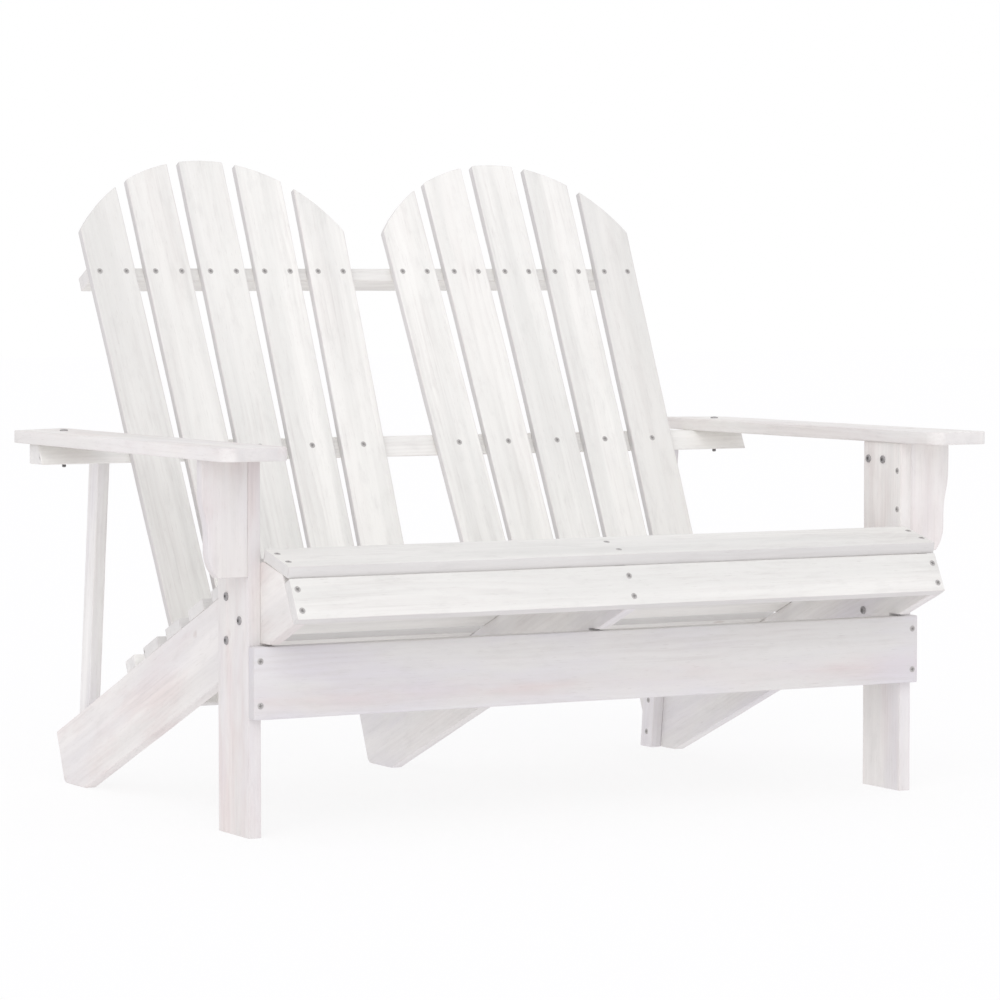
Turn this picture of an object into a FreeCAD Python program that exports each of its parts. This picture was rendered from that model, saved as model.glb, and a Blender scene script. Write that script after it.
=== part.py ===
import FreeCAD, Part
import math
import os

os.makedirs("parts", exist_ok=True)

# Adirondack loveseat of softwood boards: two fan backs over one slatted seat.
# Millimetres. X to the right seen from the front, Y to the back, Z up from the floor.
# While it is built, Y = 0 is the front face of the front legs. At the end every piece
# is moved along Y, so that the origin lies on the floor under the middle of the seat.

# Front frame
FRAME_WIDTH = 1050.0        # over the outer faces of the front legs, and the apron's length
ARM_HEIGHT = 500.5          # floor to the underside of the arms
LEG_T = 18.0
LEG_DEPTH = 94.0
APRON_T = 18.0
APRON_H = 96.0
APRON_Z = 158.0             # floor to the apron's lower edge
EDGE_R = 2.0                # easing of the board edges

# Runners, the three sloping boards under the seat
RUNNER_T = 18.0
RUNNER_W = 106.5
RUNNER_SLOPE = 22.67        # degrees, falling to the back
CREST_Z = 366.6             # highest point of a runner
CREST_AHEAD = 7.7           # crest in front of the legs' front faces
NOSE_LENGTH = 59.7          # crest to the nose corner
NOSE_TILT = 14.2            # degrees, seat nose falling to the front
FRONT_TILT = 62.8           # degrees, front slat from level
HEEL_Z = 71.2               # height of a runner's rear top corner
HEEL_R = 15.0
NOTCH_GAP_ABOVE = 3.0       # runner notch over the apron
NOTCH_GAP_BEHIND = 0.5

# Seat
SEAT_T = 16.0
SEAT_END_GAP = 0.5          # slat end to leg
NOSE_SLAT_W = 77.0
FRONT_SLAT_W = 55.0
NOSE_JOINT_GAP = 1.0        # front slat under nose slat
SEAT_SLATS = 5
SEAT_SLAT_W = 51.5
SEAT_FIRST_GAP = 38.8       # crest to the first sloping slat
SEAT_BACK_GAP = 22.0        # last sloping slat to the backs

# Backs
BACK_FOOT_Y = 301.0         # where the front plane of the backs would meet the floor
BACK_RECLINE = 26.18        # degrees from upright
BACK_SLATS = 5
BACK_T = 12.0
BACK_GAP = 12.3             # between slats, at the arm rail
BACK_FAN = 0.88             # degrees between neighbouring slats
BACK_MIDDLE_GAP = 88.8      # between the two backs, at the arm rail
BACK_ARM_GAP = 49.4         # outer slat to arm, at the arm rail
BACK_FOOT_Z = 139.6         # floor to the slats' lower ends
BACK_LENGTH = 861.9         # length of a middle slat
BACK_TOP_DROP = 117.0       # outer corner below the top of the arc

# Rails behind the backs
UPPER_RAIL_DROP = 185.0     # top of the backs to the rail's middle
UPPER_RAIL_H = 21.5
UPPER_RAIL_D = 35.0
UPPER_RAIL_INSET = 0.5      # rail end inside the outer slat's edge
ARM_RAIL_H = 29.0
ARM_RAIL_D = 32.5           # at its upper face
ARM_RAIL_INSET = 10.0       # rail end inside the arm's outer edge
FOOT_RAIL_T = 18.0
FOOT_RAIL_W = 34.0          # on the runners

# Rear posts
POST_T = 18.0
POST_D = 34.0
POST_LAP = 12.5             # part of the post that stands under the arm rail
POST_HEEL_INSET = 3.0       # post foot inside the runner's heel

# Arms with their brackets and cleats
ARM_W = 97.0
ARM_T = 18.0
ARM_LAP = 4.0               # inner edge inside the leg's inner face
ARM_FRONT_OVERHANG = 88.0
ARM_FRONT_R = 20.0
ARM_REAR_OVERHANG = 33.5    # outer rear corner behind the arm rail
ARM_REAR_SKEW = 25.2        # degrees, rear end from square
BRACKET_T = 18.0
BRACKET_H = 155.5
BRACKET_ARM_INSET = 10.0    # bracket inside the arm's outer edge
BRACKET_SHOULDER = 40.0     # straight part under the arm
BRACKET_WAIST_CUT = 8.0
BRACKET_WAIST_H = 18.0
BRACKET_TOE_CUT = 13.5
BRACKET_TOE_H = 35.0
CLEAT_T = 20.0
CLEAT_H = 50.0
CLEAT_GAP = 6.0             # bracket to cleat
CLEAT_OVERRUN = 8.0         # cleat beyond the leg's rear edge

# Fasteners
SCREW_D = 4.0
SCREW_HEAD_D = 9.0
SCREW_HEAD_H = 2.4
SCREW_DOME = 0.7
SCREW_SINK = 1.9            # depth of the head's seat in the wood
SCREW_TIP = 5.0
SLOT_W = 1.1
SLOT_L = 5.0
SLOT_DEPTH = 1.2
BOLT_D = 6.0
BOLT_HEAD_D = 11.5
BOLT_HEAD_H = 2.6
BOLT_DOME = 0.9
BOLT_END_GAP = 5.0          # bolt end short of the nut's face
BOLT_TIP = 1.0              # chamfer of a bolt's end
ARM_BOLT_PROUD = 5.0        # arm bolt's end below the arm rail
SOCKET_AF = 4.0             # across the flats of the hexagon socket
SOCKET_DEPTH = 1.6
SLEEVE_D = 8.4
SLEEVE_L = 15.0
HOLE_GAP = 0.2              # around shanks, sleeves and sunk heads
BITE_LONG = 26.0            # screw length inside the board that it holds
BITE_MID = 18.0
BITE_SHORT = 12.0
SEAT_SCREW_PITCH = 26.0
NOSE_SCREW_PITCH = 34.0
FRONT_SCREW_PITCH = 30.0
UPPER_SCREW_PITCH = 42.0
PAIR_PITCH = 58.5           # screw pairs in the apron and rear bolts in the legs
BRACKET_SCREW_PITCH = 55.5
BRACKET_SCREW_TOP = 39.8    # arm to the upper bracket screw
POST_SCREW_PITCH = 50.0
POST_SCREW_Z = 24.0
LEG_BOLT_FRONT = 26.8       # front bolt to the leg's front edge
LEG_BOLT_REAR = 26.7        # rear bolts to the leg's rear edge
CLEAT_BOLT_FRONT = 21.2     # front bolt to the cleat's front end
CLEAT_BOLT_REAR = 12.1      # rear bolt to the leg's rear edge
CLEAT_SCREW_INSET = 8.0     # cleat screws to the cleat's ends

V = FreeCAD.Vector
UP = V(0, 0, 1)
DOWN = V(0, 0, -1)
TO_RIGHT = V(1, 0, 0)
TO_LEFT = V(-1, 0, 0)
TO_BACK = V(0, 1, 0)
TO_FRONT = V(0, -1, 0)

# Places that follow from the sizes above
SLOPE = math.radians(RUNNER_SLOPE)
RECLINE = math.radians(BACK_RECLINE)
leg_out = FRAME_WIDTH / 2
leg_in = leg_out - LEG_T
runner_in = leg_in - RUNNER_T
runner_xs = (-(leg_in - RUNNER_T / 2), 0.0, leg_in - RUNNER_T / 2)
arm_in = leg_in - ARM_LAP
arm_out = arm_in + ARM_W
seat_half = leg_in - SEAT_END_GAP
crest = V(0, -CREST_AHEAD, CREST_Z)


def tilted(degrees, origin):
    """Frame turned about X at an origin."""
    return FreeCAD.Placement(origin, FreeCAD.Rotation(TO_RIGHT, degrees))


slope_frame = tilted(-RUNNER_SLOPE, crest)
nose_frame = tilted(NOSE_TILT, crest)
nose_corner = nose_frame.multVec(V(0, -NOSE_LENGTH, 0))
front_frame = tilted(FRONT_TILT, nose_corner)
back_frame = tilted(90 - BACK_RECLINE, V(0, BACK_FOOT_Y, 0))


def back_plane_y(z, depth):
    """Y of the plane that lies a depth behind the backs' front faces, at height z."""
    return BACK_FOOT_Y + z * math.tan(RECLINE) + depth / math.cos(RECLINE)


def slope_meets_back(depth, height):
    """Distance down the slope from the crest to a plane of the backs, at a height over the runners."""
    foot = slope_frame.multVec(V(0, 0, height))
    gap = back_plane_y(foot.z, depth) - foot.y
    return gap / (math.cos(SLOPE) + math.sin(SLOPE) * math.tan(RECLINE))


arm_rail_z = ARM_HEIGHT - ARM_RAIL_H
arm_rail_front = back_plane_y(arm_rail_z, BACK_T)
arm_rail_rear = back_plane_y(ARM_HEIGHT, BACK_T) + ARM_RAIL_D
arm_rail_half = arm_out - ARM_RAIL_INSET
arm_rail_mid_y = (arm_rail_front + arm_rail_rear) / 2
heel_u = (CREST_Z - HEEL_Z) / math.sin(SLOPE)
heel_top = slope_frame.multVec(V(0, heel_u, 0))
heel_floor_y = heel_top.y - HEEL_Z * math.tan(SLOPE)

# Distances along the backs are measured up their front plane, from the floor
back_foot_s = BACK_FOOT_Z / math.cos(RECLINE)
back_top_s = back_foot_s + BACK_LENGTH
rail_face_mid_z = ARM_HEIGHT - ARM_RAIL_H / 2
arm_screw_s = (rail_face_mid_z + BACK_T * math.sin(RECLINE)) / math.cos(RECLINE)
upper_rail_s = back_top_s - UPPER_RAIL_DROP
back_slat_w = (arm_in - BACK_ARM_GAP - BACK_MIDDLE_GAP / 2 - (BACK_SLATS - 1) * BACK_GAP) / BACK_SLATS
back_pitch = back_slat_w + BACK_GAP
outer_step = (BACK_SLATS - 1) / 2
back_mid_x = BACK_MIDDLE_GAP / 2 + back_slat_w / 2 + outer_step * back_pitch


def slat_axis_x(step, s):
    """X of a slat's centre line from its back's middle, at distance s up the back."""
    return step * back_pitch + math.tan(math.radians(step * BACK_FAN)) * (s - arm_screw_s)


def back_edge_x(s):
    """Half width of one back at distance s."""
    return slat_axis_x(outer_step, s) + back_slat_w / 2 / math.cos(math.radians(outer_step * BACK_FAN))


def moved(shape, frame):
    """Copy of a shape carried into a frame."""
    copy = shape.copy()
    copy.Placement = frame.multiply(copy.Placement)
    return copy


def mirrored(shape):
    """The same board on the left side."""
    return shape.mirror(V(0, 0, 0), TO_RIGHT)


def outline(start, *steps):
    """Closed face; a step is an end point, or a (middle, end) pair for an arc."""
    edges = []
    here = start
    for step in steps + (start,):
        if isinstance(step, tuple):
            edges.append(Part.Arc(here, step[0], step[1]).toShape())
            here = step[1]
        else:
            edges.append(Part.makeLine(here, step))
            here = step
    return Part.Face(Part.Wire(edges))


def eased(shape, axis):
    """Round the edges of the two faces that lie square to an axis."""
    flat = []
    for edge in shape.Edges:
        ends = [vertex.Point.dot(axis) for vertex in edge.Vertexes]
        if max(ends) - min(ends) < 0.001:
            flat.append(edge)
    return shape.makeFillet(EDGE_R, flat)


def rounded_at(shape, radius, spots):
    """Round the edges whose middles are the given spots."""
    found = []
    for edge in shape.Edges:
        if min(edge.CenterOfMass.distanceToPoint(spot) for spot in spots) < 0.01:
            found.append(edge)
    return shape.makeFillet(radius, found)


def plank(x_size, y_size, z_size, corner, axis):
    """Board with eased edges on its two faces square to an axis."""
    return eased(Part.makeBox(x_size, y_size, z_size, corner), axis)


def front_leg():
    """Right front leg."""
    return plank(LEG_T, LEG_DEPTH, ARM_HEIGHT, V(leg_in, 0, 0), TO_RIGHT)


def apron():
    """Board across the front of the legs."""
    corner = V(-leg_out, -APRON_T, APRON_Z)
    return plank(FRAME_WIDTH, APRON_T, APRON_H, corner, TO_BACK)


def runner(middle_x):
    """Sloping board, notched over the apron and cut level at the floor."""
    x = middle_x - RUNNER_T / 2
    low_slope = math.tan(SLOPE)
    low_start = slope_frame.multVec(V(0, 0, -RUNNER_W))
    toe_y = low_start.y + low_start.z / low_slope
    # The front cut runs down from the nose corner until it meets the lower edge
    cut_y = math.cos(math.radians(FRONT_TILT))
    cut_z = math.sin(math.radians(FRONT_TILT))
    below = nose_corner.z - (low_start.z - (nose_corner.y - low_start.y) * low_slope)
    cut_length = below / (cut_z + cut_y * low_slope)
    chin = front_frame.multVec(V(0, -cut_length, 0))
    points = [
        V(x, crest.y, crest.z),
        V(x, heel_top.y, heel_top.z),
        V(x, heel_floor_y, 0),
        V(x, toe_y, 0),
        V(x, chin.y, chin.z),
        V(x, nose_corner.y, nose_corner.z),
    ]
    body = outline(*points).extrude(V(RUNNER_T, 0, 0))
    body = rounded_at(body, HEEL_R, [V(middle_x, heel_floor_y, 0)])
    body = eased(body, TO_RIGHT)
    notch_top = APRON_Z + APRON_H + NOTCH_GAP_ABOVE
    notch_depth = RUNNER_W + APRON_T
    notch = Part.makeBox(RUNNER_T, notch_depth, notch_top, V(x, NOTCH_GAP_BEHIND - notch_depth, 0))
    return body.cut(notch)


def seat_plank(frame, start, width):
    """Seat slat that lies on the runners from a start along its frame."""
    board = plank(2 * seat_half, width, SEAT_T, V(-seat_half, start, 0), UP)
    return moved(board, frame)


def front_slat_drop():
    """Distance from the nose corner down to the front slat, so that it clears the nose slat."""
    turn = math.radians(FRONT_TILT - NOSE_TILT)
    return (SEAT_T * math.cos(turn) + NOSE_JOINT_GAP) / math.sin(turn)


def seat_slat_starts():
    """Distances from the crest to the front edges of the sloping slats."""
    last_end = min(slope_meets_back(0, 0), slope_meets_back(0, SEAT_T)) - SEAT_BACK_GAP
    pitch = (last_end - SEAT_SLAT_W - SEAT_FIRST_GAP) / (SEAT_SLATS - 1)
    return [SEAT_FIRST_GAP + index * pitch for index in range(SEAT_SLATS)]


def foot_rail():
    """Rail on the runners behind the backs, its front bevelled to the slats."""
    low = slope_meets_back(BACK_T, 0)
    high = slope_meets_back(BACK_T, FOOT_RAIL_T)
    rear = low + FOOT_RAIL_W
    face = outline(
        V(-seat_half, low, 0),
        V(-seat_half, rear, 0),
        V(-seat_half, rear, FOOT_RAIL_T),
        V(-seat_half, high, FOOT_RAIL_T),
    )
    return moved(eased(face.extrude(V(2 * seat_half, 0, 0)), UP), slope_frame)


def back_template():
    """Outline of the left back with eased edges: level foot, upright sides, round top."""
    half_width = back_edge_x(back_top_s - BACK_TOP_DROP)
    radius = (half_width ** 2 + BACK_TOP_DROP ** 2) / (2 * BACK_TOP_DROP)
    left = -back_mid_x - radius
    right = -back_mid_x + radius
    centre_s = back_top_s - radius
    face = outline(
        V(left, back_foot_s, 0),
        V(right, back_foot_s, 0),
        V(right, centre_s, 0),
        (V(-back_mid_x, back_top_s, 0), V(left, centre_s, 0)),
    )
    return eased(face.extrude(V(0, 0, -BACK_T)), UP)


def back_slat(step):
    """Slat of the left back: a plank along its own axis, cut to the back's outline."""
    length = 2 * BACK_LENGTH
    long_plank = Part.makeBox(back_slat_w, length, BACK_T, V(-back_slat_w / 2, -BACK_LENGTH, -BACK_T))
    long_plank = eased(long_plank, UP)
    base = V(-back_mid_x + step * back_pitch, arm_screw_s, 0)
    turn = FreeCAD.Rotation(DOWN, step * BACK_FAN)
    slat = moved(long_plank, FreeCAD.Placement(base, turn)).common(back_template())
    return moved(slat, back_frame)


def upper_rail():
    """Rail across both backs, behind their upper part."""
    half = back_mid_x + back_edge_x(upper_rail_s) - UPPER_RAIL_INSET
    corner = V(-half, upper_rail_s - UPPER_RAIL_H / 2, -BACK_T - UPPER_RAIL_D)
    return moved(plank(2 * half, UPPER_RAIL_H, UPPER_RAIL_D, corner, TO_BACK), back_frame)


def arm_rail():
    """Rail under the rear of both arms, its front bevelled to the slats."""
    x = -arm_rail_half
    face = outline(
        V(x, arm_rail_front, arm_rail_z),
        V(x, arm_rail_rear, arm_rail_z),
        V(x, arm_rail_rear, ARM_HEIGHT),
        V(x, back_plane_y(ARM_HEIGHT, BACK_T), ARM_HEIGHT),
    )
    return eased(face.extrude(V(2 * arm_rail_half, 0, 0)), UP)


def post_y(z):
    """Y of a rear post's centre line at height z, from its foot to its head."""
    foot = heel_floor_y - POST_HEEL_INSET - POST_D / 2
    head = arm_rail_rear - POST_LAP + POST_D / 2
    return foot + (head - foot) * z / arm_rail_z


def rear_post():
    """Right rear post, beside the runner, its head notched around the arm rail."""
    x = runner_in - POST_T
    half = POST_D / 2
    face = outline(
        V(x, post_y(0) - half, 0),
        V(x, post_y(0) + half, 0),
        V(x, post_y(ARM_HEIGHT) + half, ARM_HEIGHT),
        V(x, post_y(ARM_HEIGHT) - half, ARM_HEIGHT),
    )
    body = eased(face.extrude(V(POST_T, 0, 0)), TO_RIGHT)
    notch = Part.makeBox(POST_T, POST_D, ARM_RAIL_H, V(x, arm_rail_rear - POST_D, arm_rail_z))
    return body.cut(notch)


def arm():
    """Right arm, rounded at the front and cut askew at the rear."""
    front = -ARM_FRONT_OVERHANG
    rear_out = arm_rail_rear + ARM_REAR_OVERHANG
    rear_in = rear_out + ARM_W * math.tan(math.radians(ARM_REAR_SKEW))
    z = ARM_HEIGHT
    face = outline(V(arm_in, front, z), V(arm_out, front, z), V(arm_out, rear_out, z), V(arm_in, rear_in, z))
    body = face.extrude(V(0, 0, ARM_T))
    middle_z = ARM_HEIGHT + ARM_T / 2
    body = rounded_at(body, ARM_FRONT_R, [V(arm_in, front, middle_z), V(arm_out, front, middle_z)])
    return eased(body, UP)


def bracket():
    """Right bracket under the arm, its outer edge an S curve that ends in a round toe."""
    top = arm_out - BRACKET_ARM_INSET
    waist = top - BRACKET_WAIST_CUT
    z0 = ARM_HEIGHT - BRACKET_SHOULDER
    z2 = ARM_HEIGHT - BRACKET_H + BRACKET_TOE_H + BRACKET_WAIST_H
    z3 = z2 - BRACKET_WAIST_H
    foot = ARM_HEIGHT - BRACKET_H
    # The S is two equal arcs, upright at both ends
    rise = (z0 - z2) / 2
    inset = BRACKET_WAIST_CUT / 2
    s_r = (rise ** 2 + inset ** 2) / (2 * inset)
    s_turn = math.asin(rise / s_r) / 2
    s_in = s_r * (1 - math.cos(s_turn))
    s_down = s_r * math.sin(s_turn)
    toe_r = (BRACKET_TOE_CUT ** 2 + BRACKET_TOE_H ** 2) / (2 * BRACKET_TOE_CUT)
    toe_turn = math.asin(BRACKET_TOE_H / toe_r) / 2
    toe_mid = V(waist - toe_r * (1 - math.cos(toe_turn)), 0, z3 - toe_r * math.sin(toe_turn))
    face = outline(
        V(leg_out, 0, foot),
        V(leg_out, 0, ARM_HEIGHT),
        V(top, 0, ARM_HEIGHT),
        V(top, 0, z0),
        (V(top - s_in, 0, z0 - s_down), V(top - inset, 0, z0 - rise)),
        (V(waist + s_in, 0, z2 + s_down), V(waist, 0, z2)),
        V(waist, 0, z3),
        (toe_mid, V(waist - BRACKET_TOE_CUT, 0, foot)),
    )
    return eased(face.extrude(V(0, BRACKET_T, 0)), TO_BACK)


cleat_y = BRACKET_T + CLEAT_GAP
cleat_end_y = LEG_DEPTH + CLEAT_OVERRUN


def cleat():
    """Right cleat between leg and arm, behind the bracket."""
    corner = V(leg_out, cleat_y, ARM_HEIGHT - CLEAT_H)
    return plank(CLEAT_T, cleat_end_y - cleat_y, CLEAT_H, corner, TO_RIGHT)


def turned(points, arc_middle):
    """Solid of revolution about Z; the first two points are joined by an arc."""
    edges = [Part.Arc(points[0], arc_middle, points[1]).toShape()]
    for here, there in zip(points[1:], points[2:] + points[:1]):
        edges.append(Part.makeLine(here, there))
    return Part.Face(Part.Wire(edges)).revolve(V(0, 0, 0), UP, 360)


def dome_middle(radius, top, dome):
    """Point half way out on the arc of a domed head."""
    ball = (radius ** 2 + dome ** 2) / (2 * dome)
    return V(radius / 2, 0, top + ball - math.sqrt(ball ** 2 - radius ** 2 / 4))


def screw(length):
    """Screw whose Z = 0 is the wood's face and +Z runs inwards; cross slot in the head."""
    r_head = SCREW_HEAD_D / 2
    r = SCREW_D / 2
    top = SCREW_SINK - SCREW_HEAD_H
    tip = SCREW_SINK + length
    points = [
        V(0, 0, top),
        V(r_head, 0, top + SCREW_DOME),
        V(r_head, 0, SCREW_SINK),
        V(r, 0, SCREW_SINK),
        V(r, 0, tip - SCREW_TIP),
        V(0, 0, tip),
    ]
    body = turned(points, dome_middle(r_head, top, SCREW_DOME))
    one = Part.makeBox(SLOT_L, SLOT_W, SLOT_DEPTH, V(-SLOT_L / 2, -SLOT_W / 2, top))
    two = Part.makeBox(SLOT_W, SLOT_L, SLOT_DEPTH, V(-SLOT_W / 2, -SLOT_L / 2, top))
    return body.cut(one.fuse(two))


def screw_hole(length):
    """Seat for the head and hole for the shank of a screw."""
    seat_r = SCREW_HEAD_D / 2 + HOLE_GAP
    seat = Part.makeCylinder(seat_r, SCREW_SINK + SCREW_HEAD_D, V(0, 0, -SCREW_HEAD_D))
    return seat.fuse(Part.makeCylinder(SCREW_D / 2 + HOLE_GAP, SCREW_SINK + length + HOLE_GAP))


def bolt(end):
    """Bolt with a domed head on a board's face, its end at a depth; hexagon socket."""
    r_head = BOLT_HEAD_D / 2
    r = BOLT_D / 2
    top = -BOLT_HEAD_H
    points = [
        V(0, 0, top),
        V(r_head, 0, top + BOLT_DOME),
        V(r_head, 0, 0),
        V(r, 0, 0),
        V(r, 0, end - BOLT_TIP),
        V(r - BOLT_TIP, 0, end),
        V(0, 0, end),
    ]
    body = turned(points, dome_middle(r_head, top, BOLT_DOME))
    corner_r = SOCKET_AF / math.sqrt(3)
    corners = []
    for index in range(6):
        angle = math.radians(60 * index)
        corners.append(V(corner_r * math.cos(angle), corner_r * math.sin(angle), top))
    return body.cut(outline(*corners).extrude(V(0, 0, SOCKET_DEPTH)))


def sleeve_nut(stack):
    """Nut with a domed flange on the far face of a stack and a sleeve around the bolt."""
    r_head = BOLT_HEAD_D / 2
    r = SLEEVE_D / 2
    far = stack + BOLT_HEAD_H
    points = [
        V(0, 0, far),
        V(r_head, 0, far - BOLT_DOME),
        V(r_head, 0, stack),
        V(r, 0, stack),
        V(r, 0, stack - SLEEVE_L),
        V(0, 0, stack - SLEEVE_L),
    ]
    middle = dome_middle(r_head, 0, BOLT_DOME)
    body = turned(points, V(middle.x, 0, far - middle.z))
    return body.cut(Part.makeCylinder(BOLT_D / 2 + HOLE_GAP, SLEEVE_L, V(0, 0, stack - SLEEVE_L)))


def insert_nut(stack):
    """Plain threaded sleeve, flush with the far face of a stack."""
    start = V(0, 0, stack - SLEEVE_L)
    bore = Part.makeCylinder(BOLT_D / 2 + HOLE_GAP, SLEEVE_L, start)
    return Part.makeCylinder(SLEEVE_D / 2, SLEEVE_L, start).cut(bore)


def bolt_hole(stack):
    """Hole for a bolt, wider where the nut's sleeve sits."""
    hole = Part.makeCylinder(BOLT_D / 2 + HOLE_GAP, stack)
    sleeve_z = stack - SLEEVE_L - HOLE_GAP
    return hole.fuse(Part.makeCylinder(SLEEVE_D / 2 + HOLE_GAP, stack - sleeve_z, V(0, 0, sleeve_z)))


boards = {}
holes = {}
groups = {}


def aimed(shape, origin, direction):
    """Copy of a fastener with its Z turned to a direction."""
    return moved(shape, FreeCAD.Placement(origin, FreeCAD.Rotation(UP, direction)))


def drill(names, cutter):
    """Keep a cutter for the boards that it passes."""
    for name in names:
        holes.setdefault(name, []).append(cutter)


def fix_screw(group, origin, direction, through, bite, names):
    """Screw through one board into the next."""
    length = through - SCREW_SINK + bite
    groups.setdefault(group, []).append(aimed(screw(length), origin, direction))
    drill(names, aimed(screw_hole(length), origin, direction))


def fix_bolt(group, nut_group, origin, direction, stack, names):
    """Bolt and nut through a stack of boards."""
    groups.setdefault(group, []).append(aimed(bolt(stack - BOLT_END_GAP), origin, direction))
    groups.setdefault(nut_group, []).append(aimed(sleeve_nut(stack), origin, direction))
    drill(names, aimed(bolt_hole(stack), origin, direction))


def fix_arm_bolt(origin, stack, names):
    """Bolt down through arm and rail, its end standing out below an insert nut."""
    groups.setdefault("arm_bolts", []).append(aimed(bolt(stack + ARM_BOLT_PROUD), origin, DOWN))
    groups.setdefault("arm_bolt_nuts", []).append(aimed(insert_nut(stack), origin, DOWN))
    drill(names, aimed(bolt_hole(stack), origin, DOWN))


SIDES = ((-1, "left"), (1, "right"))
RUNNERS = ("runner_left", "runner_middle", "runner_right")


def make_boards():
    """Fill the dictionary of boards."""
    both = {
        "front_leg": front_leg(),
        "rear_post": rear_post(),
        "arm": arm(),
        "arm_bracket": bracket(),
        "arm_cleat": cleat(),
    }
    for name, shape in both.items():
        boards[name + "_right"] = shape
        boards[name + "_left"] = mirrored(shape)
    boards["front_apron"] = apron()
    for name, x in zip(RUNNERS, runner_xs):
        boards[name] = runner(x)
    boards["seat_nose_slat"] = seat_plank(nose_frame, -NOSE_SLAT_W, NOSE_SLAT_W)
    boards["seat_front_slat"] = seat_plank(front_frame, -front_slat_drop() - FRONT_SLAT_W, FRONT_SLAT_W)
    for index, start in enumerate(seat_slat_starts()):
        boards["seat_slat_%d" % (index + 1)] = seat_plank(slope_frame, start, SEAT_SLAT_W)
    boards["back_foot_rail"] = foot_rail()
    boards["back_upper_rail"] = upper_rail()
    boards["arm_rail"] = arm_rail()
    for index in range(BACK_SLATS):
        slat = back_slat(index - outer_step)
        boards["back_slat_left_%d" % (index + 1)] = slat
        boards["back_slat_right_%d" % (BACK_SLATS - index)] = mirrored(slat)


def fix_seat():
    """Screws of the seat slats and of the foot rail, two or one at each runner."""
    rows = [
        ("seat_nose_slat", nose_frame, -NOSE_SLAT_W / 2, NOSE_SCREW_PITCH),
        ("seat_front_slat", front_frame, -front_slat_drop() - FRONT_SLAT_W / 2, FRONT_SCREW_PITCH),
    ]
    for index, start in enumerate(seat_slat_starts()):
        rows.append(("seat_slat_%d" % (index + 1), slope_frame, start + SEAT_SLAT_W / 2, SEAT_SCREW_PITCH))
    for name, frame, middle, pitch in rows:
        inward = frame.Rotation.multVec(DOWN)
        for runner_name, x in zip(RUNNERS, runner_xs):
            for offset in (-pitch / 2, pitch / 2):
                origin = frame.multVec(V(x, middle + offset, SEAT_T))
                fix_screw("seat_screws", origin, inward, SEAT_T, BITE_LONG, (name, runner_name))
    rail_top_front = slope_meets_back(BACK_T, FOOT_RAIL_T)
    rail_rear = slope_meets_back(BACK_T, 0) + FOOT_RAIL_W
    inward = slope_frame.Rotation.multVec(DOWN)
    for runner_name, x in zip(RUNNERS, runner_xs):
        origin = slope_frame.multVec(V(x, (rail_top_front + rail_rear) / 2, FOOT_RAIL_T))
        fix_screw("foot_rail_screws", origin, inward, FOOT_RAIL_T, BITE_LONG, ("back_foot_rail", runner_name))


def fix_backs():
    """Screws of the back slats: two into the upper rail, one into each lower rail."""
    inward = back_frame.Rotation.multVec(DOWN)
    face_mid = slope_frame.multVec(V(0, slope_meets_back(BACK_T, FOOT_RAIL_T / 2), FOOT_RAIL_T / 2))
    foot_s = (face_mid.z + BACK_T * math.sin(RECLINE)) / math.cos(RECLINE)
    half = UPPER_SCREW_PITCH / 2
    for side, word in SIDES:
        for index in range(BACK_SLATS):
            slat = "back_slat_%s_%d" % (word, index + 1)
            step = index - outer_step
            spots = [
                ("back_upper_screws", "back_upper_rail", upper_rail_s, -half),
                ("back_upper_screws", "back_upper_rail", upper_rail_s, half),
                ("back_arm_rail_screws", "arm_rail", arm_screw_s, 0),
                ("back_foot_screws", "back_foot_rail", foot_s, 0),
            ]
            for group, rail, s, offset in spots:
                origin = back_frame.multVec(V(side * back_mid_x + slat_axis_x(step, s) + offset, s, 0))
                fix_screw(group, origin, inward, BACK_T, BITE_MID, (slat, rail))


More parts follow.
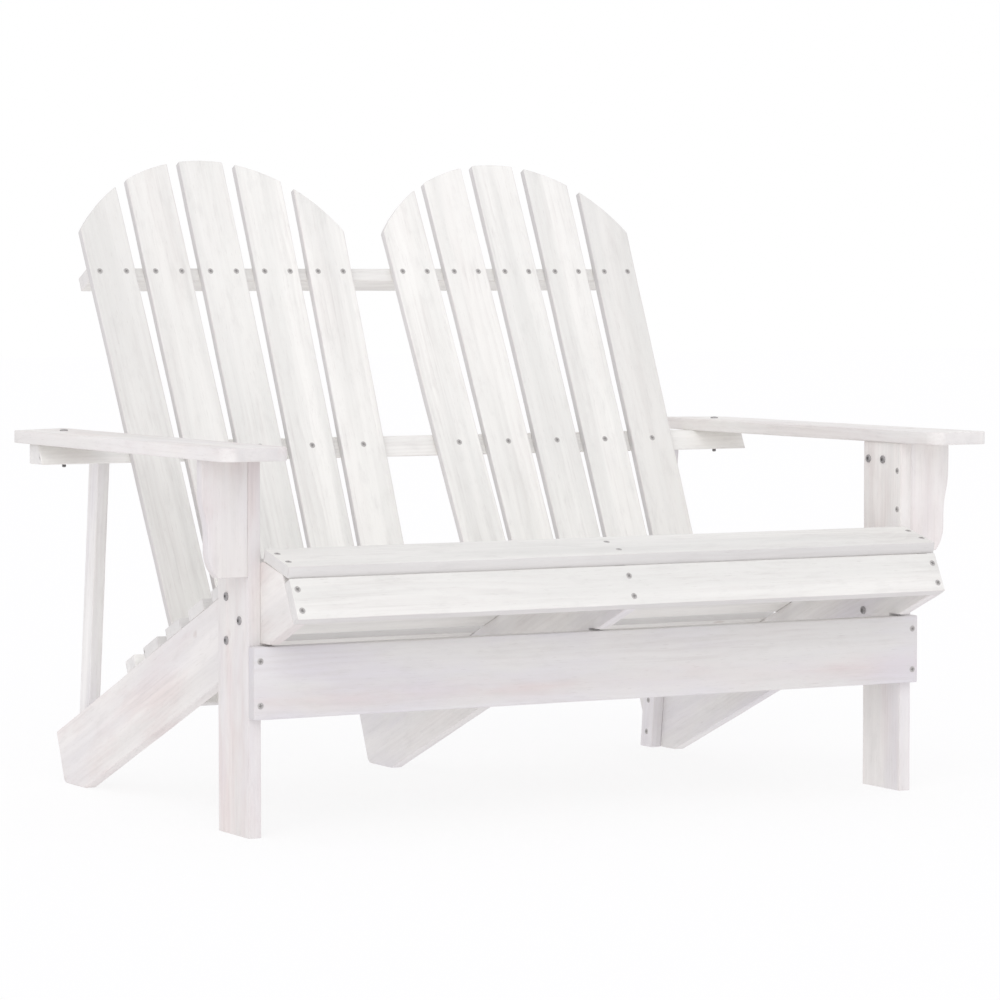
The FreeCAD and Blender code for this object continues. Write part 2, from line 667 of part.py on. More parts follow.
def fix_front(side, word):
    """Apron screws, leg bolts, bracket screws and cleat fixings of one side."""
    leg = "front_leg_" + word
    x_apron = side * (leg_out - LEG_T / 2)
    apron_mid = APRON_Z + APRON_H / 2
    for z in (apron_mid - PAIR_PITCH / 2, apron_mid + PAIR_PITCH / 2):
        origin = V(x_apron, -APRON_T, z)
        fix_screw("apron_screws", origin, TO_BACK, APRON_T, BITE_LONG, ("front_apron", leg))
    inward = TO_LEFT if side > 0 else TO_RIGHT
    outward = TO_RIGHT if side > 0 else TO_LEFT
    runner_mid = slope_frame.multVec(V(0, 0, -RUNNER_W / 2))
    z_mid = runner_mid.z - (LEG_DEPTH / 2 - runner_mid.y) * math.tan(SLOPE)
    rear_y = LEG_DEPTH - LEG_BOLT_REAR
    spots = ((LEG_BOLT_FRONT, z_mid), (rear_y, z_mid + PAIR_PITCH / 2), (rear_y, z_mid - PAIR_PITCH / 2))
    for y, z in spots:
        names = (leg, "runner_" + word)
        fix_bolt("leg_bolts", "leg_bolt_nuts", V(side * leg_out, y, z), inward, LEG_T + RUNNER_T, names)
    top_z = ARM_HEIGHT - BRACKET_SCREW_TOP
    for z in (top_z, top_z - BRACKET_SCREW_PITCH):
        origin = V(side * leg_in, BRACKET_T / 2, z)
        fix_screw("bracket_screws", origin, outward, LEG_T, BITE_LONG, (leg, "arm_bracket_" + word))
    cleat_name = "arm_cleat_" + word
    for y in (cleat_y + CLEAT_BOLT_FRONT, LEG_DEPTH - CLEAT_BOLT_REAR):
        origin = V(side * leg_in, y, ARM_HEIGHT - CLEAT_H / 2)
        fix_bolt("cleat_bolts", "cleat_bolt_nuts", origin, outward, LEG_T + CLEAT_T, (leg, cleat_name))
    for y in (cleat_y + CLEAT_SCREW_INSET, cleat_end_y - CLEAT_SCREW_INSET):
        origin = V(side * (leg_out + CLEAT_T / 2), y, ARM_HEIGHT - CLEAT_H)
        fix_screw("arm_cleat_screws", origin, UP, CLEAT_H, BITE_SHORT, (cleat_name, "arm_" + word))


def fix_rear(side, word):
    """Post screws, rail screws and arm bolt of one side."""
    post = "rear_post_" + word
    outward = TO_RIGHT if side > 0 else TO_LEFT
    for z in (POST_SCREW_Z, POST_SCREW_Z + POST_SCREW_PITCH):
        origin = V(side * (runner_in - POST_T), post_y(z), z)
        fix_screw("post_screws", origin, outward, POST_T, BITE_SHORT, (post, "runner_" + word))
    tongue_y = post_y(rail_face_mid_z) + POST_D / 2
    origin = V(side * (runner_in - POST_T / 2), tongue_y, rail_face_mid_z)
    fix_screw("post_rail_screws", origin, TO_FRONT, tongue_y - arm_rail_rear, BITE_MID, (post, "arm_rail"))
    bolt_x = side * (arm_in + arm_rail_half) / 2
    origin = V(bolt_x, arm_rail_mid_y, ARM_HEIGHT + ARM_T)
    fix_arm_bolt(origin, ARM_T + ARM_RAIL_H, ("arm_" + word, "arm_rail"))


def save(name, shape, to_middle):
    """Write one node's file, moved so that the seat's middle is at the origin."""
    out = shape.copy()
    out.translate(to_middle)
    out.exportStep("parts/%s.step" % name)


make_boards()
fix_seat()
fix_backs()
for side, word in SIDES:
    fix_front(side, word)
    fix_rear(side, word)

for name in boards:
    boards[name] = boards[name].cut(holes[name])

front_y = min(shape.optimalBoundingBox().YMin for shape in boards.values())
rear_y = max(shape.optimalBoundingBox().YMax for shape in boards.values())
to_middle = V(0, -(front_y + rear_y) / 2, 0)
for name, shape in boards.items():
    save(name, shape, to_middle)
for name, solids in groups.items():
    save(name, Part.makeCompound(solids), to_middle)
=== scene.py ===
import math

import bpy
import numpy as np
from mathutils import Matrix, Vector


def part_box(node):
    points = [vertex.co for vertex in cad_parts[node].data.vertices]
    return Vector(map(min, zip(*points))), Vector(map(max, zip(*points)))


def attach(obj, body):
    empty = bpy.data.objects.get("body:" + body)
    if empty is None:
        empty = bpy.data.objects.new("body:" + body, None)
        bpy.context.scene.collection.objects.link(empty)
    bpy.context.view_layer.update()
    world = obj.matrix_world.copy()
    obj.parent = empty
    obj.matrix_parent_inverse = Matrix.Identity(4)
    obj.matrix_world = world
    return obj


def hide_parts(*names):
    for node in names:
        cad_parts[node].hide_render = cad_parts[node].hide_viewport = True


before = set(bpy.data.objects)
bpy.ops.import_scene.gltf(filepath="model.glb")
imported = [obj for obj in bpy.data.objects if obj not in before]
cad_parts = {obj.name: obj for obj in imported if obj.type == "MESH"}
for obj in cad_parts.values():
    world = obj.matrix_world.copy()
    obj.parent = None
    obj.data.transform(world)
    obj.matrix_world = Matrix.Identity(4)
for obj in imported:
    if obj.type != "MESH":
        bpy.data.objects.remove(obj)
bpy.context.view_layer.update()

# Adirondack loveseat in whitewashed fir: every board is a planed plank with eased, slightly
# wandering edges, and every fastener a domed head with its drive. Sizes are in millimetres,
# measured from the front face of the front legs, and become metres in put_in_mesh.
MM = 0.001
LEG_FRONT_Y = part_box("front_leg_left")[0].y

# Front frame
LEG_OUT = 525.0
LEG_T = 18.0
LEG_DEPTH = 94.0
LEG_IN = LEG_OUT - LEG_T
ARM_HEIGHT = 500.5
APRON_T = 18.0
APRON_LOW = 158.0
APRON_HIGH = 254.0

# Runners
RUNNER_T = 18.0
RUNNER_W = 106.5
SLOPE = math.radians(22.67)
CREST = np.array([0.0, -7.7, 366.6])
NOSE_LENGTH = 59.7
NOSE_TILT = math.radians(14.2)
FRONT_TILT = math.radians(62.8)
HEEL_Z = 71.2
HEEL_R = 15.0
NOTCH_OVER_APRON = 3.0
NOTCH_BEHIND_APRON = 0.5
RUNNER_X = (LEG_IN - RUNNER_T / 2) * np.array([-1.0, 0.0, 1.0])

# Seat
SEAT_T = 16.0
SEAT_SIDE_GAP = 0.5
SEAT_HALF = LEG_IN - SEAT_SIDE_GAP
NOSE_SLAT_W = 77.0
FRONT_SLAT_W = 55.0
FRONT_SLAT_GAP = 1.0
FRONT_SLAT_RISE = 2.6
SEAT_SLAT_W = 51.5
SEAT_SLATS = 5
SEAT_FIRST = 38.8
SEAT_BACK_GAP = 22.0

# Backs and the rails behind them
RECLINE = math.radians(26.18)
BACK_FOOT = np.array([0.0, 301.0, 0.0])
BACK_T = 12.0
BACK_SLATS = 5
BACK_FAN = math.radians(0.88)
BACK_FOOT_Z = 139.6
BACK_LENGTH = 861.9
BACK_FOOT_S = BACK_FOOT_Z / math.cos(RECLINE)
BACK_TOP_S = BACK_FOOT_S + BACK_LENGTH
BACK_TOP_DROP = 117.0
BACK_SLAT_GAP = 12.3
BACK_INNER_X = 44.4
BACK_OUTER_GAP = 49.4
UPPER_RAIL_DROP = 185.0
UPPER_RAIL_S = BACK_TOP_S - UPPER_RAIL_DROP
UPPER_RAIL_H = 21.5
UPPER_RAIL_D = 35.0
UPPER_RAIL_INSET = 0.5
ARM_RAIL_H = 29.0
ARM_RAIL_D = 32.5
FOOT_RAIL_T = 18.0
FOOT_RAIL_W = 34.0

# Posts, arms, brackets, cleats
POST_T = 18.0
POST_D = 34.0
POST_FOOT_GAP = 3.0
POST_NOTCH = 12.5
ARM_OVER_LEG = 4.0
ARM_IN = LEG_IN - ARM_OVER_LEG
ARM_W = 97.0
ARM_OUT = ARM_IN + ARM_W
ARM_T = 18.0
ARM_FRONT = -88.0
ARM_FRONT_R = 20.0
ARM_REAR_SKEW = math.radians(25.2)
ARM_REAR_REACH = 33.5
ARM_OVERHANG = 10.0
BRACKET_T = 18.0
BRACKET_H = 155.5
TOE_H = 35.0
TOE_IN = 13.5
WAIST_H = 18.0
WAIST_IN = 8.0
SHOULDER_H = 40.0
CLEAT_T = 20.0
CLEAT_H = 50.0
CLEAT_Y = 24.0
CLEAT_PAST_LEG = 8.0
CLEAT_END_Y = LEG_DEPTH + CLEAT_PAST_LEG

# Fixings: their places on the boards that they hold, and the sizes of their heads
NOSE_SCREW_REACH = 17.0
FRONT_SCREW_REACH = 15.0
SEAT_SCREW_REACH = 13.0
UPPER_SCREW_REACH = 21.0
APRON_SCREW_REACH = 29.25
LEG_BOLT_REACH = 29.25
LEG_BOLT_FRONT = 26.8
LEG_BOLT_REAR = 26.7
BRACKET_SCREW_DROPS = (39.8, 95.3)
CLEAT_BOLT_FRONT = 21.2
CLEAT_BOLT_REAR = 12.1
CLEAT_SCREW_IN = 8.0
POST_SCREW_Z = (24.0, 74.0)
SCREW_HEAD_R = 4.5
BOLT_HEAD_R = 5.75
BOLT_HEAD_H = 2.6
INSERT_R = 4.2

# Rounding of the edges: most boards, legs and brackets, seat slats
EASE = 1.8
CRISP_EASE = 0.8
SEAT_EASE = 0.5

X_AXIS = np.array([1.0, 0.0, 0.0])
Y_AXIS = np.array([0.0, 1.0, 0.0])
Z_AXIS = np.array([0.0, 0.0, 1.0])


def turned_about_x(angle):
    """Y and Z axes of a frame turned about X by an angle."""
    along = np.array([0.0, math.cos(angle), math.sin(angle)])
    up = np.array([0.0, -math.sin(angle), math.cos(angle)])
    return along, up


slope_along, slope_up = turned_about_x(-SLOPE)
nose_along, nose_up = turned_about_x(NOSE_TILT)
front_along, front_up = turned_about_x(FRONT_TILT)
back_along, back_out = turned_about_x(math.pi / 2 - RECLINE)
NOSE_CORNER = CREST - NOSE_LENGTH * nose_along


def back_plane_y(z, depth):
    """Y of the plane a depth behind the backs' front faces, at height z."""
    return BACK_FOOT[1] + z * math.tan(RECLINE) + depth / math.cos(RECLINE)


def slope_meets_back(depth, height):
    """Distance down the slope to a plane of the backs, at a height over the runners."""
    foot = CREST + height * slope_up
    gap = back_plane_y(foot[2], depth) - foot[1]
    return gap / (math.cos(SLOPE) + math.sin(SLOPE) * math.tan(RECLINE))


ARM_RAIL_Z = ARM_HEIGHT - ARM_RAIL_H
ARM_RAIL_FRONT = back_plane_y(ARM_RAIL_Z, BACK_T)
ARM_RAIL_REAR = back_plane_y(ARM_HEIGHT, BACK_T) + ARM_RAIL_D
ARM_RAIL_HALF = ARM_OUT - ARM_OVERHANG
RAIL_MID_Z = ARM_HEIGHT - ARM_RAIL_H / 2
ARM_SCREW_S = (RAIL_MID_Z + BACK_T * math.sin(RECLINE)) / math.cos(RECLINE)
BACK_GAPS = (BACK_SLATS - 1) * BACK_SLAT_GAP
BACK_SLAT_W = (ARM_IN - BACK_OUTER_GAP - BACK_INNER_X - BACK_GAPS) / BACK_SLATS
BACK_PITCH = BACK_SLAT_W + BACK_SLAT_GAP
BACK_MID_X = BACK_INNER_X + BACK_SLAT_W / 2 + 2 * BACK_PITCH
HEEL_U = (CREST[2] - HEEL_Z) / math.sin(SLOPE)
HEEL_FLOOR_Y = (CREST + HEEL_U * slope_along)[1] - HEEL_Z * math.tan(SLOPE)
SEAT_END = min(slope_meets_back(0, 0), slope_meets_back(0, SEAT_T)) - SEAT_BACK_GAP
SEAT_STARTS = np.linspace(SEAT_FIRST, SEAT_END - SEAT_SLAT_W, SEAT_SLATS)
NOSE_BEND = FRONT_TILT - NOSE_TILT
FRONT_SLAT_DROP = (SEAT_T * math.cos(NOSE_BEND) + FRONT_SLAT_GAP) / math.sin(NOSE_BEND)


def slat_axis_x(step, s):
    """Distance of a back slat's centre line from the middle of its back, at s up the back."""
    return step * BACK_PITCH + math.tan(step * BACK_FAN) * (s - ARM_SCREW_S)


def post_y(z):
    """Y of a rear post's centre line at height z: a straight line from foot to head."""
    foot = HEEL_FLOOR_Y - POST_FOOT_GAP - POST_D / 2
    head = ARM_RAIL_REAR - POST_NOTCH + POST_D / 2
    return foot + (head - foot) * z / ARM_RAIL_Z


def wander(a, seed, reach):
    """Slow uneven line along a plank: the sum of three sines of random phase, at most reach high."""
    rng = np.random.default_rng(seed)
    waves = np.array([410.0, 173.0, 67.0]) * rng.uniform(0.8, 1.25, 3)
    phases = rng.uniform(0, 2 * math.pi, 3)
    heights = reach * np.array([0.5, 0.3, 0.2])
    return (heights * np.sin(2 * math.pi * a[..., None] / waves + phases)).sum(-1)


def section_walk(band_one, band_two):
    """Once round a plank's section as whole arrays. A point lies at a share of the width and
    of the thickness, measured between the four corner centres, plus the corner radius times
    a unit direction, plus a small step along the wide face. Wear is one on the corners, and
    the side shade is one on the two narrow sides, where it darkens them as painted shade."""
    turn = np.radians(np.array([0.0, 22.5, 45.0, 67.5, 90.0]))
    face_f = np.array([0.0, 0.0, 0.25, 0.5, 0.75, 1.0, 1.0])
    face_o = np.array([band_one, band_two, 0.0, 0.0, 0.0, -band_two, -band_one])
    face_w = np.array([0.35, 0.0, 0.0, 0.0, 0.0, 0.0, 0.35])
    side_f = np.array([0.3, 0.7])
    into_side = np.array([0.0, 0.2, 0.5, 0.8, 1.0])
    width, height, cos_b, sin_h, step, wear, side_shade_and_end_grain = [], [], [], [], [], [], []
    for quarter, (w, h) in enumerate(((0, 0), (1, 0), (1, 1), (0, 1))):
        angle = turn + math.pi + quarter * math.pi / 2
        width.append(np.full(5, float(w)))
        height.append(np.full(5, float(h)))
        cos_b.append(np.cos(angle))
        sin_h.append(np.sin(angle))
        step.append(np.zeros(5))
        wear.append(np.array([0.7, 0.95, 1.0, 0.95, 0.7]))
        side_shade_and_end_grain.append(into_side if quarter in (1, 3) else into_side[::-1])
        if quarter in (0, 2):
            back = quarter == 2
            width.append(face_f[::-1] if back else face_f)
            height.append(np.full(7, float(h)))
            cos_b.append(np.zeros(7))
            sin_h.append(np.full(7, 1.0 if back else -1.0))
            step.append(face_o[::-1] if back else face_o)
            wear.append(face_w)
            side_shade_and_end_grain.append(np.zeros(7))
        else:
            back = quarter == 3
            width.append(np.full(2, float(w)))
            height.append(side_f[::-1] if back else side_f)
            cos_b.append(np.full(2, -1.0 if back else 1.0))
            sin_h.append(np.zeros(2))
            step.append(np.zeros(2))
            wear.append(np.full(2, 0.15))
            side_shade_and_end_grain.append(np.ones(2))
    return [np.concatenate(part) for part in (width, height, cos_b, sin_h, step, wear, side_shade_and_end_grain)]


# Faces that close an end of a section: a strip from side to side, and one face at each side
rung = np.arange(16)
END_STRIP = np.stack([rung, rung + 1, 34 - rung, 35 - rung], 1)
END_STRIP = np.concatenate([END_STRIP, [[16, 17, 18, 19], [35, 36, 37, 0]]])


def put_in_mesh(name, points, faces, grain, wear, side_shade_and_end_grain, tone):
    """Put a closed surface into a mesh: points in millimetres become metres in the CAD frame,
    faces are turned outwards by the sign of the enclosed volume, and the board coordinates,
    wear, painted shade of the narrow sides with the soaked end grain, and tone are kept as attributes."""
    place = points * MM + np.array([0.0, LEG_FRONT_Y, 0.0])
    fan = np.concatenate([np.stack([f[:, [0, k, k + 1]] for k in range(1, f.shape[1] - 1)], 1).reshape(-1, 3)
                          for f in faces])
    p, q, r = (place[fan[:, k]] for k in range(3))
    inside_out = np.einsum("ij,ij->i", p, np.cross(q, r)).sum() < 0
    polygons = [row for f in faces for row in (f[:, ::-1] if inside_out else f).tolist()]
    mesh = bpy.data.meshes.new(name)
    mesh.from_pydata(place.tolist(), [], polygons)
    mesh.polygons.foreach_set("use_smooth", np.ones(len(polygons), bool))
    count = len(place)
    for key, kind, field, values in (
        ("grain", "FLOAT_VECTOR", "vector", grain),
        ("wear", "FLOAT", "value", wear),
        ("side_shade_and_end_grain", "FLOAT", "value", side_shade_and_end_grain),
        ("tone", "FLOAT_VECTOR", "vector", np.broadcast_to(tone, (count, 3))),
    ):
        layer = mesh.attributes.new(key, kind, "POINT")
        layer.data.foreach_set(field, np.ascontiguousarray(values, np.float32).ravel())
    mesh.update()
    piece = bpy.data.objects.new(name, mesh)
    bpy.context.scene.collection.objects.link(piece)
    return piece


boards = []


def plank(node, origin, along, across, through, thick, start, end, low, high, stations, tone,
          bevel=0.0, raw=0.15, ease=EASE, blush=0.0):
    """A board as a rounded section carried along its length. At each station the section
    spans from low to high across the board; the two ends are the curves start and end over
    the width, and the last rings shrink on a quarter circle, so that the ends are eased too.
    low, high, start and end are functions of whole arrays, one share sets how much painted
    shade darkens the narrow sides, and blush adds a pink stripe at a quarter of the width."""
    seed = sum(ord(letter) * (place + 3) for place, letter in enumerate(node))
    quarter = np.radians(np.array([90.0, 60.0, 30.0]))
    inset = ease * (1 - np.sin(quarter))
    shrink = ease * (1 - np.cos(quarter))
    inset = np.concatenate([[0.0], inset])
    shrink = np.concatenate([[ease + 2.5], shrink])
    edge_wear = np.array([0.2, 0.8, 1.0, 0.8])
    end_grain = np.array([0.6, 0.6, 0.4, 0.1])
    share = np.concatenate([np.zeros(4), stations, np.ones(4)])
    off_start = np.concatenate([inset, np.full(len(stations), ease), np.full(4, ease)])
    off_end = np.concatenate([np.full(4, ease), np.full(len(stations), ease), inset[::-1]])
    pull = np.concatenate([shrink, np.zeros(len(stations)), shrink[::-1]])
    ring_wear = np.concatenate([edge_wear, np.zeros(len(stations)), edge_wear[::-1]])
    ring_sawn = np.concatenate([end_grain, np.zeros(len(stations)), end_grain[::-1]])

    def limit(edge, guess):
        """Across position of one edge at each station: its own length runs between the end
        curves at that edge, so the edge is looked up at the place that it really has."""
        first = start(edge(np.array([guess[0]])))[0]
        last = end(edge(np.array([guess[1]])))[0]
        return edge(first + off_start + share * (last - off_end - first - off_start))

    span = (start(np.zeros(1))[0], end(np.zeros(1))[0])
    low_b = limit(low, span)
    high_b = limit(high, span)
    narrow = float((high_b - low_b).min())
    f_b, f_h, c_b, s_h, step, wear, side_shade_and_end_grain = section_walk(min(3.0, 0.08 * narrow), min(8.0, 0.18 * narrow))
    radius = np.maximum(ease * (1 + wander(share * 900.0, seed, 0.4)) - pull, 0.25)
    radius = radius[:, None]
    pull = pull[:, None]
    run = share * (span[1] - span[0])
    low_b = (low_b + wander(run, seed + 1, 0.25))[:, None] + pull + radius
    high_b = (high_b + wander(run, seed + 2, 0.25))[:, None] - pull - radius
    low_h = -thick / 2 + pull + radius
    high_h = thick / 2 - pull - radius
    b = low_b + f_b * (high_b - low_b) + radius * c_b + step
    h = low_h + f_h * (high_h - low_h) + radius * s_h
    b = b + bevel * (h / thick) * (high_b - b) / (high_b - low_b)
    first = start(b) + off_start[:, None]
    last = end(b) - off_end[:, None]
    a = first + share[:, None] * (last - first)
    points = origin + a[..., None] * along + b[..., None] * across + h[..., None] * through
    rings, around = a.shape
    index = np.arange(rings * around).reshape(rings, around)
    ahead = np.roll(index, -1, 1)
    quads = np.stack([index[:-1], ahead[:-1], ahead[1:], index[1:]], -1).reshape(-1, 4)
    caps = np.concatenate([index[0][END_STRIP[:, ::-1]], index[-1][END_STRIP]])
    rng = np.random.default_rng(seed + 9)
    pith = np.array([rng.uniform(0, 40), rng.uniform(-0.05, 0.05),
                     rng.choice([-1, 1]) * rng.uniform(0.03, 0.10)])
    grain = np.stack([a, b, h], -1).reshape(-1, 3) * MM + pith
    wear = np.maximum(wear, ring_wear[:, None]).ravel()
    # Narrow sides get painted shade, scaled by the side share; the ends get the soaked end grain
    side_shade_and_end_grain = np.maximum(raw * side_shade_and_end_grain, ring_sawn[:, None]).ravel()
    stripe = blush * np.maximum(0.0, 1 - np.abs((b - low_b) / (high_b - low_b) - 0.25) / 0.25)
    tone = np.array(tone) + stripe.reshape(-1, 1) * Y_AXIS
    piece = put_in_mesh("board_" + node, points.reshape(-1, 3), [quads, caps], grain, wear, side_shade_and_end_grain, tone)
    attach(piece, "root")
    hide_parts(node)
    boards.append(piece)


def level(value):
    """An end or edge that is the same everywhere."""
    return lambda t: np.full_like(t, value, dtype=float)


EVEN = np.linspace(0.0, 1.0, 25)


def straight_plank(node, origin, along, across, through, length, width, thick, tone, **more):
    """A plain plank: origin is the middle of its section at its start."""
    edges = level(-width / 2), level(width / 2)
    plank(node, origin, along, across, through, thick, level(0.0), level(length), *edges, EVEN, tone, **more)


# Tone of each kind of board: lightness, pink of the wood showing through, grey of the wash; some tones also
# hold painted light or painted shade
LEFT_LEG_TONE = (0.62, 1.15, 0.62)
# The right leg is lighter than the left: painted light for the shade on its inner face
RIGHT_LEG_TONE = (0.90, 0.75, 0.75)
# The middle and right runners, in the shade under the seat, are lighter and lilac-grey: painted light with
# the tint of that shade
RUNNER_TONES = ((0.74, 0.98, 0.45), (0.80, 0.22, 0.95), (0.80, 0.22, 0.95))
# The posts are lighter: painted light for their shade behind the seat
POST_TONE = (1.00, 0.12, 0.85)
# The apron is darker and greyer: partly its own grey wash, partly painted shade from the seat's overhang
APRON_TONE = (0.28, 0.16, 1.05)
APRON_BLUSH = 1.3
SEAT_TONE = (0.62, 0.04, 0.03)
UPPER_RAIL_TONE = (0.78, 0.08, 0.08)
LOWER_RAIL_TONE = (1.00, 0.08, 0.05)
ARM_TONES = {"left": (0.86, 0.80, 0.30), "right": (0.98, 0.60, 0.30)}
SLAT_LIGHT = {"left": (0.48, 0.74, 0.70, 0.98, 1.00), "right": (1.00, 0.88, 0.88, 0.88, 0.48)}
SLAT_PINKS = (0.03, 0.07, 0.11)
SLAT_GREY = 0.05


def make_front_frame():
    """Legs, apron, brackets and cleats."""
    for side, word, tone in ((-1, "left", LEFT_LEG_TONE), (1, "right", RIGHT_LEG_TONE)):
        x = side * (LEG_OUT - LEG_T / 2)
        foot = np.array([x, LEG_DEPTH / 2, 0.0])
        straight_plank("front_leg_" + word, foot, Z_AXIS, Y_AXIS, X_AXIS, ARM_HEIGHT, LEG_DEPTH, LEG_T, tone,
                       ease=CRISP_EASE)
        make_bracket(side, word, tone)
        middle = np.array([side * (LEG_OUT + CLEAT_T / 2), CLEAT_Y, ARM_HEIGHT - CLEAT_H / 2])
        straight_plank("arm_cleat_" + word, middle, Y_AXIS, Z_AXIS, X_AXIS,
                       CLEAT_END_Y - CLEAT_Y, CLEAT_H, CLEAT_T, tone)
    middle = np.array([-LEG_OUT, -APRON_T / 2, (APRON_LOW + APRON_HIGH) / 2])
    straight_plank("front_apron", middle, X_AXIS, Z_AXIS, Y_AXIS,
                   2 * LEG_OUT, APRON_HIGH - APRON_LOW, APRON_T, APRON_TONE, blush=APRON_BLUSH)


def make_bracket(side, word, tone):
    """Bracket under an arm: straight against the leg; its outer edge is a round toe, a short
    waist, an S of two equal arcs and a straight shoulder, as a width over the height."""
    top_w = ARM_OUT - ARM_OVERHANG - LEG_OUT
    waist_w = top_w - WAIST_IN
    toe_r = (TOE_IN ** 2 + TOE_H ** 2) / (2 * TOE_IN)
    s_low = TOE_H + WAIST_H
    s_high = BRACKET_H - SHOULDER_H
    rise = (s_high - s_low) / 2
    step = WAIST_IN / 2
    s_r = (rise ** 2 + step ** 2) / (2 * step)

    def outer(z):
        z = np.clip(z, 0.0, BRACKET_H)
        toe = waist_w - toe_r + np.sqrt(np.maximum(toe_r ** 2 - (TOE_H - z) ** 2, 0.0))
        lower = waist_w + s_r - np.sqrt(np.maximum(s_r ** 2 - (z - s_low) ** 2, 0.0))
        upper = top_w - s_r + np.sqrt(np.maximum(s_r ** 2 - (s_high - z) ** 2, 0.0))
        parts = [z < TOE_H, z < s_low, z < s_low + rise, z < s_high]
        return np.select(parts, [toe, np.full_like(z, waist_w), lower, upper], top_w)

    origin = np.array([side * LEG_OUT, BRACKET_T / 2, ARM_HEIGHT - BRACKET_H])
    plank("arm_bracket_" + word, origin, Z_AXIS, side * X_AXIS, Y_AXIS, BRACKET_T,
          level(0.0), level(BRACKET_H), level(0.0), outer, np.linspace(0, 1, 49), tone, ease=CRISP_EASE)


def make_runner(node, x, tone):
    """Sloping runner: the upper edge falls from the crest to the nose, the lower edge has the
    notch over the apron, the level foot and the round heel, each as a height over the length."""
    sin, cos = math.sin(SLOPE), math.cos(SLOPE)
    nose = NOSE_CORNER - CREST
    nose_u, nose_b = nose @ slope_along, nose @ slope_up
    chin_lean = ((-front_along) @ slope_along) / ((-front_along) @ slope_up)
    notch_z = APRON_HIGH + NOTCH_OVER_APRON - CREST[2]
    notch_y = NOTCH_BEHIND_APRON - CREST[1]
    floor_corner = (HEEL_U * sin - CREST[2]) / cos
    tangent = HEEL_R / math.tan(math.pi / 4 + SLOPE / 2)
    heel_c = HEEL_U - HEEL_R, floor_corner + tangent

    def upper(u):
        return np.where(u < 0, nose_b * np.clip(u / nose_u, 0, 1), 0.0)

    def lower(u):
        under = np.minimum((notch_z + u * sin) / cos, (notch_y - u * cos) / sin)
        floor = (u * sin - CREST[2]) / cos
        edge = np.maximum(np.maximum(-RUNNER_W, under), floor)
        reach = np.clip(HEEL_R ** 2 - (u - heel_c[0]) ** 2, 0.0, None)
        heel = heel_c[1] - np.sqrt(reach)
        return np.where(u > heel_c[0] + HEEL_R * sin, np.maximum(edge, heel), edge)

    def front(b):
        return nose_u + (b - nose_b) * chin_lean

    even = np.linspace(0, 1, 60)
    at_heel = np.linspace(0.965, 1.0, 24)
    notch_from, notch_to, before_crest = 20, 60, 52
    at_notch = (np.linspace(notch_from, notch_to, 60) + before_crest) / (HEEL_U + before_crest)
    at_crest = np.array([-nose_u / (HEEL_U - nose_u)])
    stations = np.unique(np.concatenate([even, at_heel, at_notch, at_crest]).round(6))
    plank(node, np.array([x, *CREST[1:]]), slope_along, slope_up, X_AXIS, RUNNER_T,
          front, level(HEEL_U), lower, upper, stations, tone)


def make_seat():
    """Nose slat, front slat and the sloping slats between the legs."""
    rows = [
        ("seat_nose_slat", CREST, nose_along, nose_up, -NOSE_SLAT_W / 2, NOSE_SLAT_W),
        ("seat_front_slat", NOSE_CORNER, front_along, front_up,
         (FRONT_SLAT_RISE - FRONT_SLAT_W) / 2 - FRONT_SLAT_DROP, FRONT_SLAT_W + FRONT_SLAT_RISE),
    ]
    for index, begin in enumerate(SEAT_STARTS):
        name = "seat_slat_%d" % (index + 1)
        rows.append((name, CREST, slope_along, slope_up, begin + SEAT_SLAT_W / 2, SEAT_SLAT_W))
    for node, base, forward, up, middle, width in rows:
        origin = base + middle * forward + SEAT_T / 2 * up - SEAT_HALF * X_AXIS
        # The narrow sides of the seat slats are darkened with painted shade
        straight_plank(node, origin, X_AXIS, forward, up, 2 * SEAT_HALF, width, SEAT_T, SEAT_TONE,
                       raw=0.75, ease=SEAT_EASE)


def make_back_slat(side, word, number):
    """Back slat: a plank along its own fanned axis with a level foot; its top is the circle
    through the crown of the back, as a height over the width."""
    step = number - 1 - (BACK_SLATS - 1) / 2
    fan = step * BACK_FAN
    half = slat_axis_x(2, BACK_TOP_S - BACK_TOP_DROP) + BACK_SLAT_W / 2 / math.cos(2 * BACK_FAN)
    radius = (half ** 2 + BACK_TOP_DROP ** 2) / (2 * BACK_TOP_DROP)
    along = math.cos(fan) * back_along + math.sin(fan) * X_AXIS
    across = math.cos(fan) * X_AXIS - math.sin(fan) * back_along
    centre_x = -step * BACK_PITCH
    centre_s = BACK_TOP_S - radius - ARM_SCREW_S
    centre_a = centre_s * math.cos(fan) + centre_x * math.sin(fan)
    centre_b = centre_x * math.cos(fan) - centre_s * math.sin(fan)

    def foot(b):
        return (BACK_FOOT_S - ARM_SCREW_S + b * math.sin(fan)) / math.cos(fan)

    def crown(b):
        return centre_a + np.sqrt(np.maximum(radius ** 2 - (b - centre_b) ** 2, 0.0))

    x = side * BACK_MID_X + step * BACK_PITCH
    origin = np.array([x, 0.0, 0.0]) + BACK_FOOT + ARM_SCREW_S * back_along - BACK_T / 2 * back_out
    tone = (SLAT_LIGHT[word][number - 1], SLAT_PINKS[number % 3], SLAT_GREY)
    # The narrow sides of the back slats are darkened fully with painted shade
    plank("back_slat_%s_%d" % (word, number), origin, along, across, back_out, BACK_T,
          foot, crown, level(-BACK_SLAT_W / 2), level(BACK_SLAT_W / 2), EVEN, tone, raw=1.0)


